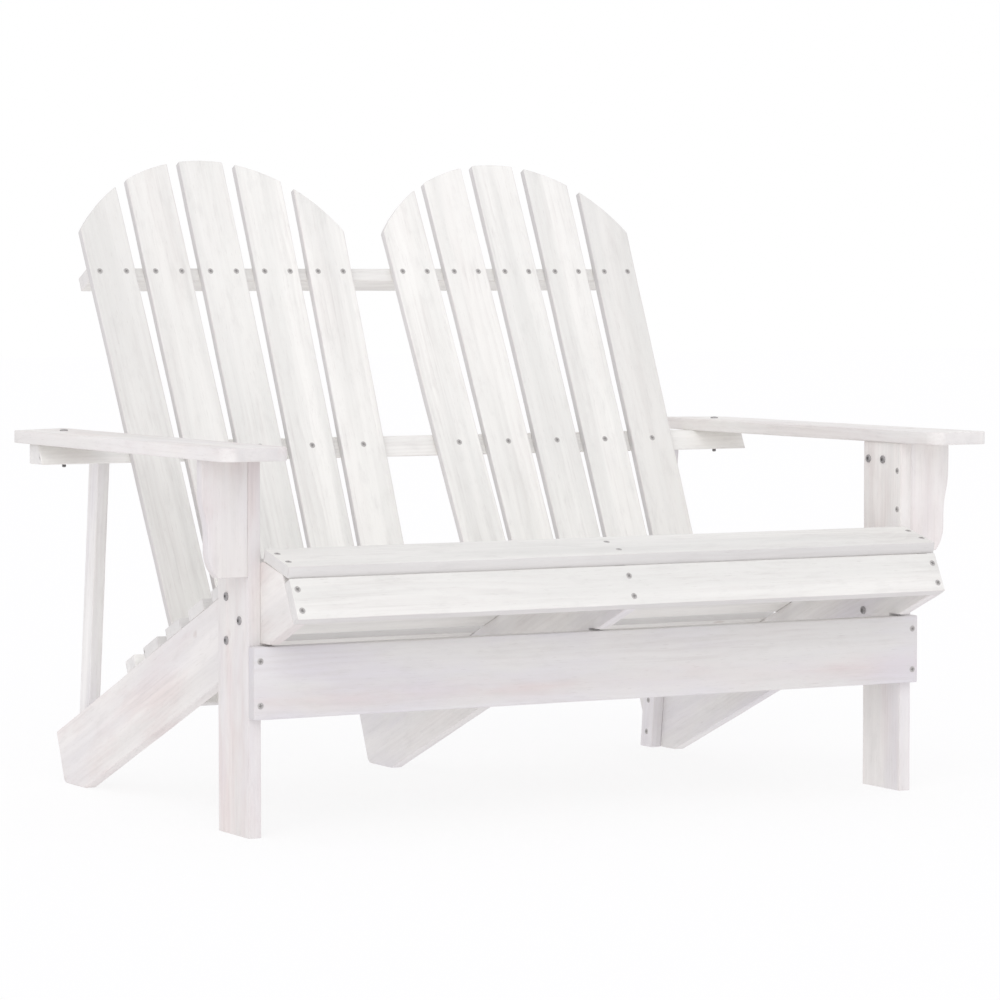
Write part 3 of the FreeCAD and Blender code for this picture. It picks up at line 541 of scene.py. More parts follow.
def make_rails():
    """Upper rail, arm rail with its bevelled front, and foot rail on the runners."""
    outer_half = BACK_SLAT_W / 2 / math.cos(2 * BACK_FAN)
    half = BACK_MID_X + slat_axis_x(2, UPPER_RAIL_S) + outer_half - UPPER_RAIL_INSET
    origin = BACK_FOOT + UPPER_RAIL_S * back_along - (BACK_T + UPPER_RAIL_D / 2) * back_out - half * X_AXIS
    straight_plank("back_upper_rail", origin, X_AXIS, back_out, back_along, 2 * half,
                   UPPER_RAIL_D, UPPER_RAIL_H, UPPER_RAIL_TONE)
    top_front = back_plane_y(ARM_HEIGHT, BACK_T)
    front = (ARM_RAIL_FRONT + top_front) / 2
    origin = np.array([-ARM_RAIL_HALF, (front + ARM_RAIL_REAR) / 2, RAIL_MID_Z])
    straight_plank("arm_rail", origin, X_AXIS, Y_AXIS, Z_AXIS, 2 * ARM_RAIL_HALF,
                   ARM_RAIL_REAR - front, ARM_RAIL_H, LOWER_RAIL_TONE, bevel=top_front - ARM_RAIL_FRONT)
    low = slope_meets_back(BACK_T, 0)
    high = slope_meets_back(BACK_T, FOOT_RAIL_T)
    middle = ((low + high) / 2 + low + FOOT_RAIL_W) / 2
    origin = CREST + middle * slope_along + FOOT_RAIL_T / 2 * slope_up - SEAT_HALF * X_AXIS
    straight_plank("back_foot_rail", origin, X_AXIS, slope_along, slope_up, 2 * SEAT_HALF,
                   low + FOOT_RAIL_W - (low + high) / 2, FOOT_RAIL_T, LOWER_RAIL_TONE, bevel=high - low)


def make_post(side, word):
    """Leaning rear post: its front edge steps back at the arm rail, as a width over the height."""
    lean = (post_y(ARM_HEIGHT) - post_y(0)) / ARM_HEIGHT
    origin = np.array([side * (LEG_IN - RUNNER_T - POST_T / 2), post_y(0), 0.0])

    def front(z):
        tongue = ARM_RAIL_REAR - post_y(z)
        return np.where(z < ARM_RAIL_Z, -POST_D / 2, tongue)

    notch = ARM_RAIL_Z / ARM_HEIGHT
    stations = np.concatenate([np.linspace(0, notch - 0.002, 22), np.linspace(notch + 0.002, 1, 6)])
    plank("rear_post_" + word, origin, Z_AXIS + lean * Y_AXIS, Y_AXIS, X_AXIS, POST_T,
          level(0.0), level(ARM_HEIGHT), front, level(POST_D / 2), stations, POST_TONE)


def make_arm(side, word):
    """Arm: round front corners as quarter circles in the width, rear end cut askew."""
    rear_out = ARM_RAIL_REAR + ARM_REAR_REACH
    half = ARM_W / 2

    def drawn_in(y):
        reach = np.clip(ARM_FRONT_R - (y - ARM_FRONT), 0.0, ARM_FRONT_R)
        return ARM_FRONT_R - np.sqrt(ARM_FRONT_R ** 2 - reach ** 2)

    def rear(b):
        return rear_out + (half - b) * math.tan(ARM_REAR_SKEW)

    curve = (1 - np.cos(np.linspace(0, math.pi / 2, 16))) * ARM_FRONT_R / (rear_out - ARM_FRONT)
    stations = np.unique(np.concatenate([curve, EVEN]).round(6))
    origin = np.array([side * (ARM_IN + half), 0.0, ARM_HEIGHT + ARM_T / 2])
    plank("arm_" + word, origin, Y_AXIS, side * X_AXIS, Z_AXIS, ARM_T, level(ARM_FRONT), rear,
          lambda y: drawn_in(y) - half, lambda y: half - drawn_in(y), stations, ARM_TONES[word])


make_front_frame()
for node, x, tone in zip(("runner_left", "runner_middle", "runner_right"), RUNNER_X, RUNNER_TONES):
    make_runner(node, x, tone)
make_seat()
make_rails()
for side, word in ((-1, "left"), (1, "right")):
    make_post(side, word)
    make_arm(side, word)
    for number in range(1, BACK_SLATS + 1):
        make_back_slat(side, word, number)


def cross_drive(length, width):
    """Outline of a cross recess in polar form, with the angles at which it has its corners."""
    corner = math.degrees(math.atan(width / length))
    quarter = np.array([-45.0, -28.0, -corner, corner, 28.0])
    angle = np.radians((quarter + np.arange(0, 360, 90)[:, None]).ravel())
    local = np.radians(np.tile(quarter, 4))
    inner = np.abs(np.tan(local)) > width / length + 1e-6
    safe = np.where(inner, np.abs(np.sin(local)), 1.0)
    return angle, np.where(inner, width / safe, length / np.cos(local))


def round_drive(radius):
    """Outline of a plain bore in polar form."""
    angle = np.radians(np.arange(0, 360, 15.0))
    return angle, np.full_like(angle, radius)


def hexagon_drive(across_flats):
    """Outline of a hexagon socket in polar form: half the flats over the cosine to the flat."""
    angle = np.radians(np.arange(0, 360, 15.0))
    local = np.radians((np.degrees(angle) % 60) - 30)
    return angle, across_flats / 2 / np.cos(local)


def carried(name, node, spots, local, wear, flat_rings):
    """One grid of rings over an angle, closed by a flat at each end and set at many spots in
    one mesh: each spot has a place and a direction, the grid's Z goes along the direction,
    turned about it by chance."""
    rings, around = local.shape[:2]
    index = np.arange(rings * around).reshape(rings, around)
    ahead = np.roll(index, -1, 1)
    quads = np.stack([index[:-1], ahead[:-1], ahead[1:], index[1:]], -1).reshape(-1, 4)
    caps = np.stack([index[0, ::-1], index[-1]])
    origin, out = (np.array(part, float) for part in zip(*spots))
    spin = np.random.default_rng(len(spots) + len(node)).uniform(0, math.pi, len(spots))
    helper = np.where(np.abs(out[:, :1]) > 0.9, Y_AXIS, X_AXIS)
    one = np.cross(helper, out)
    one /= np.linalg.norm(one, axis=1, keepdims=True)
    first = np.cos(spin)[:, None] * one + np.sin(spin)[:, None] * np.cross(out, one)
    axes = np.stack([first, np.cross(out, first), out], 1)
    points = origin[:, None] + np.einsum("vk,nkx->nvx", local.reshape(-1, 3), axes)
    points = points.reshape(-1, 3)
    shift = (np.arange(len(spots)) * rings * around)[:, None, None]
    faces = [(part[None] + shift).reshape(-1, part.shape[1]) for part in (quads, caps)]
    worn = np.tile(wear.repeat(around), len(spots))
    piece = put_in_mesh(name, points, faces, points * MM, worn, np.zeros(len(points)), np.zeros(3))
    smooth = np.tile((np.arange(rings - 1) >= flat_rings).repeat(around), len(spots))
    piece.data.polygons.foreach_set("use_smooth", np.append(smooth, np.zeros(2 * len(spots), bool)))
    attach(piece, "root")
    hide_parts(node)
    return piece


def heads(node, spots, radius, rise, dome, drive, depth):
    """Domed heads: rings over an angle for the floor of the recess, its mouth, the dome as a
    parabola of the radius, the rim, and the skirt in the wood."""
    angle, mouth = drive
    whole = np.full_like(mouth, radius)
    ring_r = np.stack([mouth * 0.92, mouth, whole * 0.82, whole * 0.95, whole, whole])
    z = rise - dome * (ring_r / radius) ** 2
    z[0] = rise - depth
    z[4] = rise - dome - 0.25
    z[5] = -0.6
    local = np.stack([ring_r * np.cos(angle), ring_r * np.sin(angle), z], -1)
    # Minus one marks the recess floor for painted shade; one marks the rim for rubbing and painted highlight
    wear = np.array([-1.0, 0.0, 0.0, 1.0, 1.0, 1.0])
    return carried("heads_" + node, node, spots, local, wear, 1)


def bolt_ends(node, spots):
    """Threaded ends that stand out below: a flat, a chamfer and a thread, as a radius that
    goes to and fro between crest and root over the length."""
    flat_r, root_r, crest_r = 2.0, 2.6, 3.0
    length, chamfer, half_pitch = 5.0, 1.0, 0.25
    turns = np.arange(19)
    radius = np.append(flat_r, np.where(turns % 2, root_r, crest_r))
    z = np.append(length, length - chamfer - half_pitch * turns)
    angle = np.radians(np.arange(0, 360, 18.0))
    local = np.stack([radius[:, None] * np.cos(angle), radius[:, None] * np.sin(angle),
                      np.repeat(z[:, None], len(angle), 1)], -1)
    # Crests get rubbing and painted highlight, roots a trace of painted shade
    wear = np.append(0.6, np.where(turns % 2, -0.3, 0.6))
    return carried("ends_" + node, node, spots, local, wear, 20)


screw_pieces = []
bolt_pieces = []


def screw_heads(node, spots):
    """Countersunk screws: a cross recess in a nearly flush head."""
    screw_pieces.append(heads(node, spots, SCREW_HEAD_R, rise=0.75, dome=0.5,
                              drive=cross_drive(length=2.5, width=0.6), depth=0.6))


def bolt_heads(node, spots):
    """Connector bolts: a hexagon socket in a low domed head."""
    bolt_pieces.append(heads(node, spots, BOLT_HEAD_R, rise=BOLT_HEAD_H, dome=0.9,
                             drive=hexagon_drive(across_flats=4.0), depth=1.6))


def nut_heads(node, spots):
    """Sleeve nuts: the same low dome with a shallow socket."""
    bolt_pieces.append(heads(node, spots, BOLT_HEAD_R, rise=BOLT_HEAD_H, dome=0.9,
                             drive=hexagon_drive(across_flats=5.0), depth=0.8))


def fix_seat():
    """Screws of the seat slats, two at each runner, and of the foot rail, one at each."""
    rows = [
        (CREST, nose_along, nose_up, -NOSE_SLAT_W / 2, NOSE_SCREW_REACH),
        (NOSE_CORNER, front_along, front_up, -FRONT_SLAT_DROP - FRONT_SLAT_W / 2, FRONT_SCREW_REACH),
    ]
    rows += [(CREST, slope_along, slope_up, begin + SEAT_SLAT_W / 2, SEAT_SCREW_REACH)
             for begin in SEAT_STARTS]
    spots = []
    for base, forward, up, middle, reach in rows:
        for x in RUNNER_X:
            for offset in (-reach, reach):
                spots.append((base + (middle + offset) * forward + SEAT_T * up + x * X_AXIS, up))
    screw_heads("seat_screws", spots)
    rear = slope_meets_back(BACK_T, 0) + FOOT_RAIL_W
    middle = (slope_meets_back(BACK_T, FOOT_RAIL_T) + rear) / 2
    base = CREST + middle * slope_along + FOOT_RAIL_T * slope_up
    screw_heads("foot_rail_screws", [(base + x * X_AXIS, slope_up) for x in RUNNER_X])


def fix_backs():
    """Screws of the back slats: two at the upper rail, one at the arm rail, one at the foot rail."""
    face = CREST + slope_meets_back(BACK_T, FOOT_RAIL_T / 2) * slope_along + FOOT_RAIL_T / 2 * slope_up
    foot_s = (face[2] + BACK_T * math.sin(RECLINE)) / math.cos(RECLINE)
    rows = (("back_upper_screws", UPPER_RAIL_S, (-UPPER_SCREW_REACH, UPPER_SCREW_REACH)),
            ("back_arm_rail_screws", ARM_SCREW_S, (0.0,)), ("back_foot_screws", foot_s, (0.0,)))
    for node, s, offsets in rows:
        spots = []
        for side in (-1, 1):
            for step in range(-2, 3):
                for offset in offsets:
                    x = side * BACK_MID_X + slat_axis_x(step, s) + offset
                    spots.append((BACK_FOOT + s * back_along + x * X_AXIS, back_out))
        screw_heads(node, spots)


def fix_frame():
    """Apron, bracket, cleat, post and rail screws, and the bolts of legs, cleats and arms."""
    apron, bracket, cleat_up, post, rail = [], [], [], [], []
    leg, leg_nut, cleat, cleat_nut, arm, arm_nut = [], [], [], [], [], []
    mid = CREST - RUNNER_W / 2 * slope_up
    mid_z = mid[2] - (LEG_DEPTH / 2 - mid[1]) * math.tan(SLOPE)
    rear = LEG_DEPTH - LEG_BOLT_REAR
    apron_mid = (APRON_LOW + APRON_HIGH) / 2
    for side in (-1, 1):
        out = side * X_AXIS
        for z in (apron_mid - APRON_SCREW_REACH, apron_mid + APRON_SCREW_REACH):
            apron.append((np.array([side * (LEG_OUT - LEG_T / 2), -APRON_T, z]), -Y_AXIS))
        for y, z in ((LEG_BOLT_FRONT, mid_z), (rear, mid_z + LEG_BOLT_REACH), (rear, mid_z - LEG_BOLT_REACH)):
            leg.append((np.array([side * LEG_OUT, y, z]), out))
            leg_nut.append((np.array([side * (LEG_IN - RUNNER_T), y, z]), -out))
        for drop in BRACKET_SCREW_DROPS:
            bracket.append((np.array([side * LEG_IN, BRACKET_T / 2, ARM_HEIGHT - drop]), -out))
        for y in (CLEAT_Y + CLEAT_BOLT_FRONT, LEG_DEPTH - CLEAT_BOLT_REAR):
            cleat.append((np.array([side * LEG_IN, y, ARM_HEIGHT - CLEAT_H / 2]), -out))
            cleat_nut.append((np.array([side * (LEG_OUT + CLEAT_T), y, ARM_HEIGHT - CLEAT_H / 2]), out))
        for y in (CLEAT_Y + CLEAT_SCREW_IN, CLEAT_END_Y - CLEAT_SCREW_IN):
            cleat_up.append((np.array([side * (LEG_OUT + CLEAT_T / 2), y, ARM_HEIGHT - CLEAT_H]), -Z_AXIS))
        for z in POST_SCREW_Z:
            post.append((np.array([side * (LEG_IN - RUNNER_T - POST_T), post_y(z), z]), -out))
        tongue = post_y(RAIL_MID_Z) + POST_D / 2
        rail.append((np.array([side * (LEG_IN - RUNNER_T - POST_T / 2), tongue, RAIL_MID_Z]), Y_AXIS))
        x = side * (ARM_IN + ARM_RAIL_HALF) / 2
        y = (ARM_RAIL_FRONT + ARM_RAIL_REAR) / 2
        arm.append((np.array([x, y, ARM_HEIGHT + ARM_T]), Z_AXIS))
        arm_nut.append((np.array([x, y, ARM_RAIL_Z]), -Z_AXIS))
    for node, spots in (("apron_screws", apron), ("bracket_screws", bracket), ("arm_cleat_screws", cleat_up),
                        ("post_screws", post), ("post_rail_screws", rail)):
        screw_heads(node, spots)
    for node, spots in (("leg_bolts", leg), ("cleat_bolts", cleat), ("arm_bolts", arm)):
        bolt_heads(node, spots)
    for node, spots in (("leg_bolt_nuts", leg_nut), ("cleat_bolt_nuts", cleat_nut)):
        nut_heads(node, spots)
    bolt_pieces.append(heads("arm_bolt_nuts", arm_nut, INSERT_R, rise=0.3, dome=0.02,
                             drive=round_drive(radius=3.3), depth=0.7))
    bolt_pieces.append(bolt_ends("arm_bolts", arm_nut))


fix_seat()
fix_backs()
fix_frame()


class Sheet:
    """Short words for laying out shader nodes in one tree."""

    def __init__(self, tree):
        self.tree = tree

    def node(self, kind, **settings):
        made = self.tree.nodes.new(kind)
        for key, value in settings.items():
            setattr(made, key, value)
        return made

    def join(self, value, socket):
        if hasattr(value, "is_linked"):
            self.tree.links.new(value, socket)
        else:
            socket.default_value = value

    def math(self, operation, *values, clamp=False):
        made = self.node("ShaderNodeMath", operation=operation, use_clamp=clamp)
        for value, socket in zip(values, made.inputs):
            self.join(value, socket)
        return made.outputs[0]

    def times(self, one, two):
        return self.math("MULTIPLY", one, two)

    def plus(self, one, two):
        return self.math("ADD", one, two)

    def less(self, one, two):
        return self.math("SUBTRACT", one, two)

    def vector(self, operation, *values):
        made = self.node("ShaderNodeVectorMath", operation=operation)
        for value, socket in zip(values, made.inputs):
            self.join(value, socket)
        return made.outputs["Value" if operation in ("LENGTH", "DISTANCE", "DOT_PRODUCT") else "Vector"]

    def mix(self, share, one, two, blend="MIX"):
        made = self.node("ShaderNodeMix", data_type="RGBA", blend_type=blend)
        self.join(share, made.inputs[0])
        self.join(one, made.inputs[6])
        self.join(two, made.inputs[7])
        return made.outputs[2]

    def smooth(self, value, low, high):
        made = self.node("ShaderNodeMapRange", interpolation_type="SMOOTHSTEP")
        for part, socket in zip((value, low, high, 0.0, 1.0), made.inputs):
            self.join(part, socket)
        return made.outputs[0]

    def noise(self, vector, scale, detail=3.0, rough=0.55):
        made = self.node("ShaderNodeTexNoise")
        self.join(vector, made.inputs["Vector"])
        made.inputs["Scale"].default_value = scale
        made.inputs["Detail"].default_value = detail
        made.inputs["Roughness"].default_value = rough
        return made

    def stretched(self, board, along, across, detail=3.0, rough=0.55):
        """Noise drawn out along a board, with so many cells a metre along and across it."""
        spread = self.vector("MULTIPLY", board, (along, across, across))
        return self.noise(spread, 1.0, detail, rough).outputs[0]


def group(name, inputs, outputs):
    """New shader node group with named sockets; gives its sheet and both ends."""
    tree = bpy.data.node_groups.new(name, "ShaderNodeTree")
    for label, kind in inputs:
        tree.interface.new_socket(name=label, in_out="INPUT", socket_type=kind)
    for label, kind in outputs:
        tree.interface.new_socket(name=label, in_out="OUTPUT", socket_type=kind)
    sheet = Sheet(tree)
    return sheet, sheet.node("NodeGroupInput"), sheet.node("NodeGroupOutput")


# Colours of the wash, from dull to clean, of the wood that shows in it, and of the painted shade on narrow
# sides
DULL_WASH = (0.720, 0.718, 0.686, 1.0)
CLEAN_WASH = (0.930, 0.928, 0.886, 1.0)
BAND_WASH = (0.712, 0.716, 0.684, 1.0)
# Lilac grey of the wash; on the boards under the seat it also stands in for their shade as painted shade
COOL_WASH = (0.690, 0.668, 0.722, 1.0)
PINK_WOOD = (0.715, 0.560, 0.530, 1.0)
LATE_WOOD = (0.530, 0.485, 0.465, 1.0)
BRUSH_STREAK = (0.580, 0.552, 0.530, 1.0)
MOTTLE = (0.600, 0.594, 0.570, 1.0)
FIBRE_LINE = (0.560, 0.525, 0.505, 1.0)
OPEN_PORE = (0.440, 0.400, 0.380, 1.0)
KNOT_WOOD = (0.450, 0.360, 0.310, 1.0)
# Narrow sides: painted shade; end grain: soaked wash
SHADED_SIDE_AND_SOAKED_END = (0.560, 0.545, 0.550, 1.0)
RUBBED_EDGE = (0.680, 0.600, 0.560, 1.0)
RINGS_A_METRE = 165.0


def fir_growth():
    """Growth of the wood: year rings round a pith that runs along the board, fine fibres, and
    a few knots that the rings bend around."""
    sheet, given, out = group(
        "fir_growth",
        [("Board", "NodeSocketVector")],
        [("Late Wood", "NodeSocketFloat"), ("Fibre", "NodeSocketFloat"), ("Knot", "NodeSocketFloat")],
    )
    board = given.outputs["Board"]
    cells = (2.6, 9.0, 9.0)
    spread = sheet.vector("MULTIPLY", board, cells)
    voronoi = sheet.node("ShaderNodeTexVoronoi")
    sheet.join(spread, voronoi.inputs["Vector"])
    voronoi.inputs["Scale"].default_value = 1.0
    away = sheet.vector("SUBTRACT", spread, voronoi.outputs["Position"])
    away = sheet.vector("DIVIDE", away, cells)
    away = sheet.vector("MULTIPLY", away, (0.62, 1.0, 0.45))
    ragged = sheet.less(sheet.noise(board, 90.0, 2.0).outputs[0], 0.5)
    distance = sheet.plus(sheet.vector("LENGTH", away), sheet.times(ragged, 0.006))
    parts = sheet.node("ShaderNodeSeparateColor")
    sheet.join(voronoi.outputs["Color"], parts.inputs[0])
    grows = sheet.math("LESS_THAN", parts.outputs[0], 0.30)
    knot = sheet.times(sheet.less(1.0, sheet.smooth(distance, 0.004, 0.0085)), grows)
    bend = sheet.times(sheet.less(1.0, sheet.smooth(distance, 0.0, 0.034)), grows)
    slow = sheet.noise(sheet.vector("MULTIPLY", board, (2.4, 11.0, 11.0)), 1.0, 3.0)
    drift = sheet.vector("SUBTRACT", slow.outputs["Color"], (0.5, 0.5, 0.5))
    drift = sheet.vector("MULTIPLY", drift, (0.0, 0.030, 0.030))
    round_pith = sheet.vector("MULTIPLY", sheet.vector("ADD", board, drift), (0.0, 1.0, 1.0))
    radius = sheet.plus(sheet.vector("LENGTH", round_pith), sheet.times(bend, 0.013))
    ring = sheet.math("FRACT", sheet.times(radius, RINGS_A_METRE))
    late = sheet.times(sheet.smooth(ring, 0.10, 0.75), sheet.less(1.0, sheet.smooth(ring, 0.75, 1.0)))
    fibre = sheet.stretched(board, 9.0, 620.0, 4.0, 0.65)
    sheet.join(late, out.inputs["Late Wood"])
    sheet.join(fibre, out.inputs["Fibre"])
    sheet.join(knot, out.inputs["Knot"])
    return sheet.tree


def thin_white_wash():
    """A thin wash over the wood: where it is thin the pink wood and its late rings show, it
    is greyer and mottled in places (on the boards under the seat the lilac grey is partly
    painted shade), soaks into end grain, darkens the narrow sides as painted shade, wears
    off the edges, and stands a little proud of the open grain."""
    sheet, given, out = group(
        "thin_white_wash",
        [("Board", "NodeSocketVector"), ("Late Wood", "NodeSocketFloat"), ("Fibre", "NodeSocketFloat"),
         ("Knot", "NodeSocketFloat"), ("Wear", "NodeSocketFloat"), ("Side Shade And End Grain", "NodeSocketFloat"),
         ("Tone", "NodeSocketVector")],
        [("Color", "NodeSocketColor"), ("Roughness", "NodeSocketFloat"), ("Height", "NodeSocketFloat")],
    )
    board = given.outputs["Board"]
    late = given.outputs["Late Wood"]
    fibre = given.outputs["Fibre"]
    tone = sheet.node("ShaderNodeSeparateXYZ")
    sheet.join(given.outputs["Tone"], tone.inputs[0])
    light, pink, grey = tone.outputs[0], tone.outputs[1], tone.outputs[2]
    band = sheet.stretched(board, 1.4, 26.0)
    cloud = sheet.stretched(board, 5.0, 17.0, 4.0, 0.6)
    haze = sheet.stretched(board, 3.1, 12.0)
    brushed = sheet.stretched(board, 6.0, 210.0)
    pores = sheet.stretched(board, 55.0, 800.0, 2.0)
    mottle = sheet.stretched(board, 20.0, 62.0, 5.0, 0.68)
    thin = sheet.smooth(cloud, 0.42, 0.70)
    white = sheet.mix(light, DULL_WASH, CLEAN_WASH)
    banded = sheet.mix(sheet.times(sheet.smooth(band, 0.38, 0.66), 0.50), white, BAND_WASH)
    flush = sheet.times(pink, sheet.plus(0.10, sheet.times(thin, 0.30)))
    rose = sheet.mix(flush, banded, PINK_WOOD)
    chill = sheet.times(grey, sheet.plus(0.15, sheet.times(sheet.smooth(haze, 0.40, 0.70), 0.5)))
    cool = sheet.mix(chill, rose, COOL_WASH)
    show = sheet.plus(0.03, sheet.times(thin, 0.10))
    ringed = sheet.mix(sheet.times(late, show), cool, LATE_WOOD)
    streak = sheet.smooth(brushed, 0.50, 0.78)
    patchy = sheet.plus(0.07, sheet.times(thin, 0.28))
    streaked = sheet.mix(sheet.times(streak, patchy), ringed, BRUSH_STREAK)
    patch = sheet.times(sheet.smooth(mottle, 0.50, 0.72), 0.20)
    mottled = sheet.mix(patch, streaked, MOTTLE)
    fine = sheet.smooth(fibre, 0.50, 0.80)
    fibred = sheet.mix(sheet.times(fine, 0.11), mottled, FIBRE_LINE)
    open_pore = sheet.smooth(pores, 0.62, 0.76)
    pored = sheet.mix(sheet.times(open_pore, 0.22), fibred, OPEN_PORE)
    knotted = sheet.mix(sheet.times(given.outputs["Knot"], 0.34), pored, KNOT_WOOD)
    # Narrow sides darkened with painted shade, end grain soaked
    side_shaded = sheet.mix(sheet.times(given.outputs["Side Shade And End Grain"], 0.55), knotted, SHADED_SIDE_AND_SOAKED_END)
    rubbed = sheet.times(sheet.smooth(given.outputs["Wear"], 0.45, 1.0), sheet.smooth(brushed, 0.40, 0.66))
    worn = sheet.mix(sheet.times(rubbed, 0.16), side_shaded, RUBBED_EDGE)
    sheet.join(worn, out.inputs["Color"])
    rough = sheet.plus(0.55, sheet.times(fibre, 0.22))
    sheet.join(sheet.less(rough, sheet.times(late, 0.06)), out.inputs["Roughness"])
    relief = sheet.plus(sheet.times(late, 0.35), sheet.times(fibre, -0.8))
    relief = sheet.less(relief, sheet.times(open_pore, 0.6))
    sheet.join(sheet.plus(relief, sheet.times(streak, -0.5)), out.inputs["Height"])
    return sheet.tree


def steel_wear():
    """Coated steel: cloudy tone, bright rubbed rim that is partly a painted highlight, and painted shade in
    the recess, all as masks.
    """
    sheet, given, out = group(
        "steel_wear",
        [("Place", "NodeSocketVector"), ("Wear", "NodeSocketFloat")],
        [("Cloud", "NodeSocketFloat"), ("Rub And Highlight", "NodeSocketFloat"), ("Recess Shade", "NodeSocketFloat")],
    )
    cloud = sheet.noise(given.outputs["Place"], 420.0, 4.0, 0.6)
    speck = sheet.noise(given.outputs["Place"], 1900.0, 2.0)
    rim = sheet.smooth(given.outputs["Wear"], 0.2, 1.0)
    rub_and_highlight = sheet.times(rim, sheet.smooth(speck.outputs[0], 0.35, 0.65))
    sheet.join(cloud.outputs[0], out.inputs["Cloud"])
    sheet.join(rub_and_highlight, out.inputs["Rub And Highlight"])
    sheet.join(sheet.smooth(given.outputs["Wear"], -0.2, -1.0), out.inputs["Recess Shade"])
    return sheet.tree


# Colour of the painted shade in the drive recesses
PAINTED_RECESS_SHADE = (0.05, 0.05, 0.05, 1.0)
GROWTH = fir_growth()
WASH = thin_white_wash()
STEEL = steel_wear()


def new_material(name):
    """New material, with the sheet of its nodes and its shader."""
    material = bpy.data.materials.new(name)
    material.use_nodes = True
    sheet = Sheet(material.node_tree)
    return material, sheet, material.node_tree.nodes["Principled BSDF"]


def attribute(sheet, name, output):
    """One output of a node that reads one of the piece's own attributes."""
    return sheet.node("ShaderNodeAttribute", attribute_name=name).outputs[output]


def whitewashed_fir():
    """Finish of every board, on the board's own coordinates."""
    material, sheet, shader = new_material("whitewashed_fir")
    board = attribute(sheet, "grain", "Vector")
    growth = sheet.node("ShaderNodeGroup", node_tree=GROWTH)
    sheet.join(board, growth.inputs["Board"])
    wash = sheet.node("ShaderNodeGroup", node_tree=WASH)
    sheet.join(board, wash.inputs["Board"])
    for key in ("Late Wood", "Fibre", "Knot"):
        sheet.join(growth.outputs[key], wash.inputs[key])
    sheet.join(attribute(sheet, "wear", "Fac"), wash.inputs["Wear"])
    sheet.join(attribute(sheet, "side_shade_and_end_grain", "Fac"), wash.inputs["Side Shade And End Grain"])
    sheet.join(attribute(sheet, "tone", "Vector"), wash.inputs["Tone"])
    bump = sheet.node("ShaderNodeBump")
    bump.inputs["Strength"].default_value = 0.35
    bump.inputs["Distance"].default_value = 0.0006
    sheet.join(wash.outputs["Height"], bump.inputs["Height"])
    sheet.join(wash.outputs["Color"], shader.inputs["Base Color"])
    sheet.join(wash.outputs["Roughness"], shader.inputs["Roughness"])
    sheet.join(bump.outputs[0], shader.inputs["Normal"])
    shader.inputs["Specular IOR Level"].default_value = 0.25
    return material


def coated_steel(name, dark, light, rubbed, metallic, rough):
    """Finish of the fasteners: a thin dark coat, rubbed bright at the rim, which is partly a painted
    highlight, and darkened in the recess as painted shade.
    """
    material, sheet, shader = new_material(name)
    wear = sheet.node("ShaderNodeGroup", node_tree=STEEL)
    sheet.join(attribute(sheet, "grain", "Vector"), wear.inputs["Place"])
    sheet.join(attribute(sheet, "wear", "Fac"), wear.inputs["Wear"])
    coat = sheet.mix(wear.outputs["Cloud"], dark, light)
    # Bright rim: rubbed coat and painted highlight
    rim = sheet.mix(sheet.times(wear.outputs["Rub And Highlight"], 0.6), coat, rubbed)
    # Darker recess floor: painted shade
    color = sheet.mix(sheet.times(wear.outputs["Recess Shade"], 0.45), rim, PAINTED_RECESS_SHADE)
    sheet.join(color, shader.inputs["Base Color"])
    sheet.join(sheet.plus(rough, sheet.times(wear.outputs["Cloud"], 0.25)), shader.inputs["Roughness"])
    bump = sheet.node("ShaderNodeBump")
    bump.inputs["Strength"].default_value = 0.15
    bump.inputs["Distance"].default_value = 0.0002
    sheet.join(wear.outputs["Cloud"], bump.inputs["Height"])
    sheet.join(bump.outputs[0], shader.inputs["Normal"])
    shader.inputs["Metallic"].default_value = metallic
    return material


FIR = whitewashed_fir()
SCREW_STEEL = coated_steel("grey_screw_steel", dark=(0.40, 0.385, 0.375, 1.0),
                           light=(0.58, 0.565, 0.555, 1.0), rubbed=(0.72, 0.71, 0.70, 1.0),
                           metallic=0.5, rough=0.38)
BOLT_STEEL = coated_steel("dark_bolt_steel", dark=(0.25, 0.24, 0.242, 1.0),
                          light=(0.40, 0.388, 0.39, 1.0), rubbed=(0.56, 0.55, 0.55, 1.0),
                          metallic=0.5, rough=0.38)
for pieces, material in ((boards, FIR), (screw_pieces, SCREW_STEEL), (bolt_pieces, BOLT_STEEL)):
    for piece in pieces:
        piece.data.materials.append(material)


# Floor and surroundings, each as the light that it gives and as it is seen; lengths in metres
FLOOR_HALF = 30.0
FLOOR_OWN_LIGHT = 0.68
FLOOR_SEEN_MORE = 0.09
FLOOR_GLOW = (1.05, 1.02, 1.06, 1.0)
FLOOR_WHITE = (1.02, 1.02, 1.02, 1.0)
SKY_LIGHT = (0.832, 0.820, 0.853, 1.0)
SKY_WHITE = (1.0, 1.0, 1.0, 1.0)

# Camera, in metres
CAMERA_LENS = 144.48
CAMERA_SHIFT = -0.01556
CAMERA_EYE = Vector((-2.7638, -4.7544 + LEG_FRONT_Y, 0.7351))
CAMERA_AIM = Vector((-0.00386, 0.2625 + LEG_FRONT_Y, 0.4422))


def seen_ray(sheet):
    """One for the rays that show the background: from the camera, off gloss and through glass."""
    path = sheet.node("ShaderNodeLightPath")
    seen = sheet.math("MAXIMUM", path.outputs["Is Camera Ray"], path.outputs["Is Glossy Ray"])
    return sheet.math("MAXIMUM", seen, path.outputs["Is Transmission Ray"])


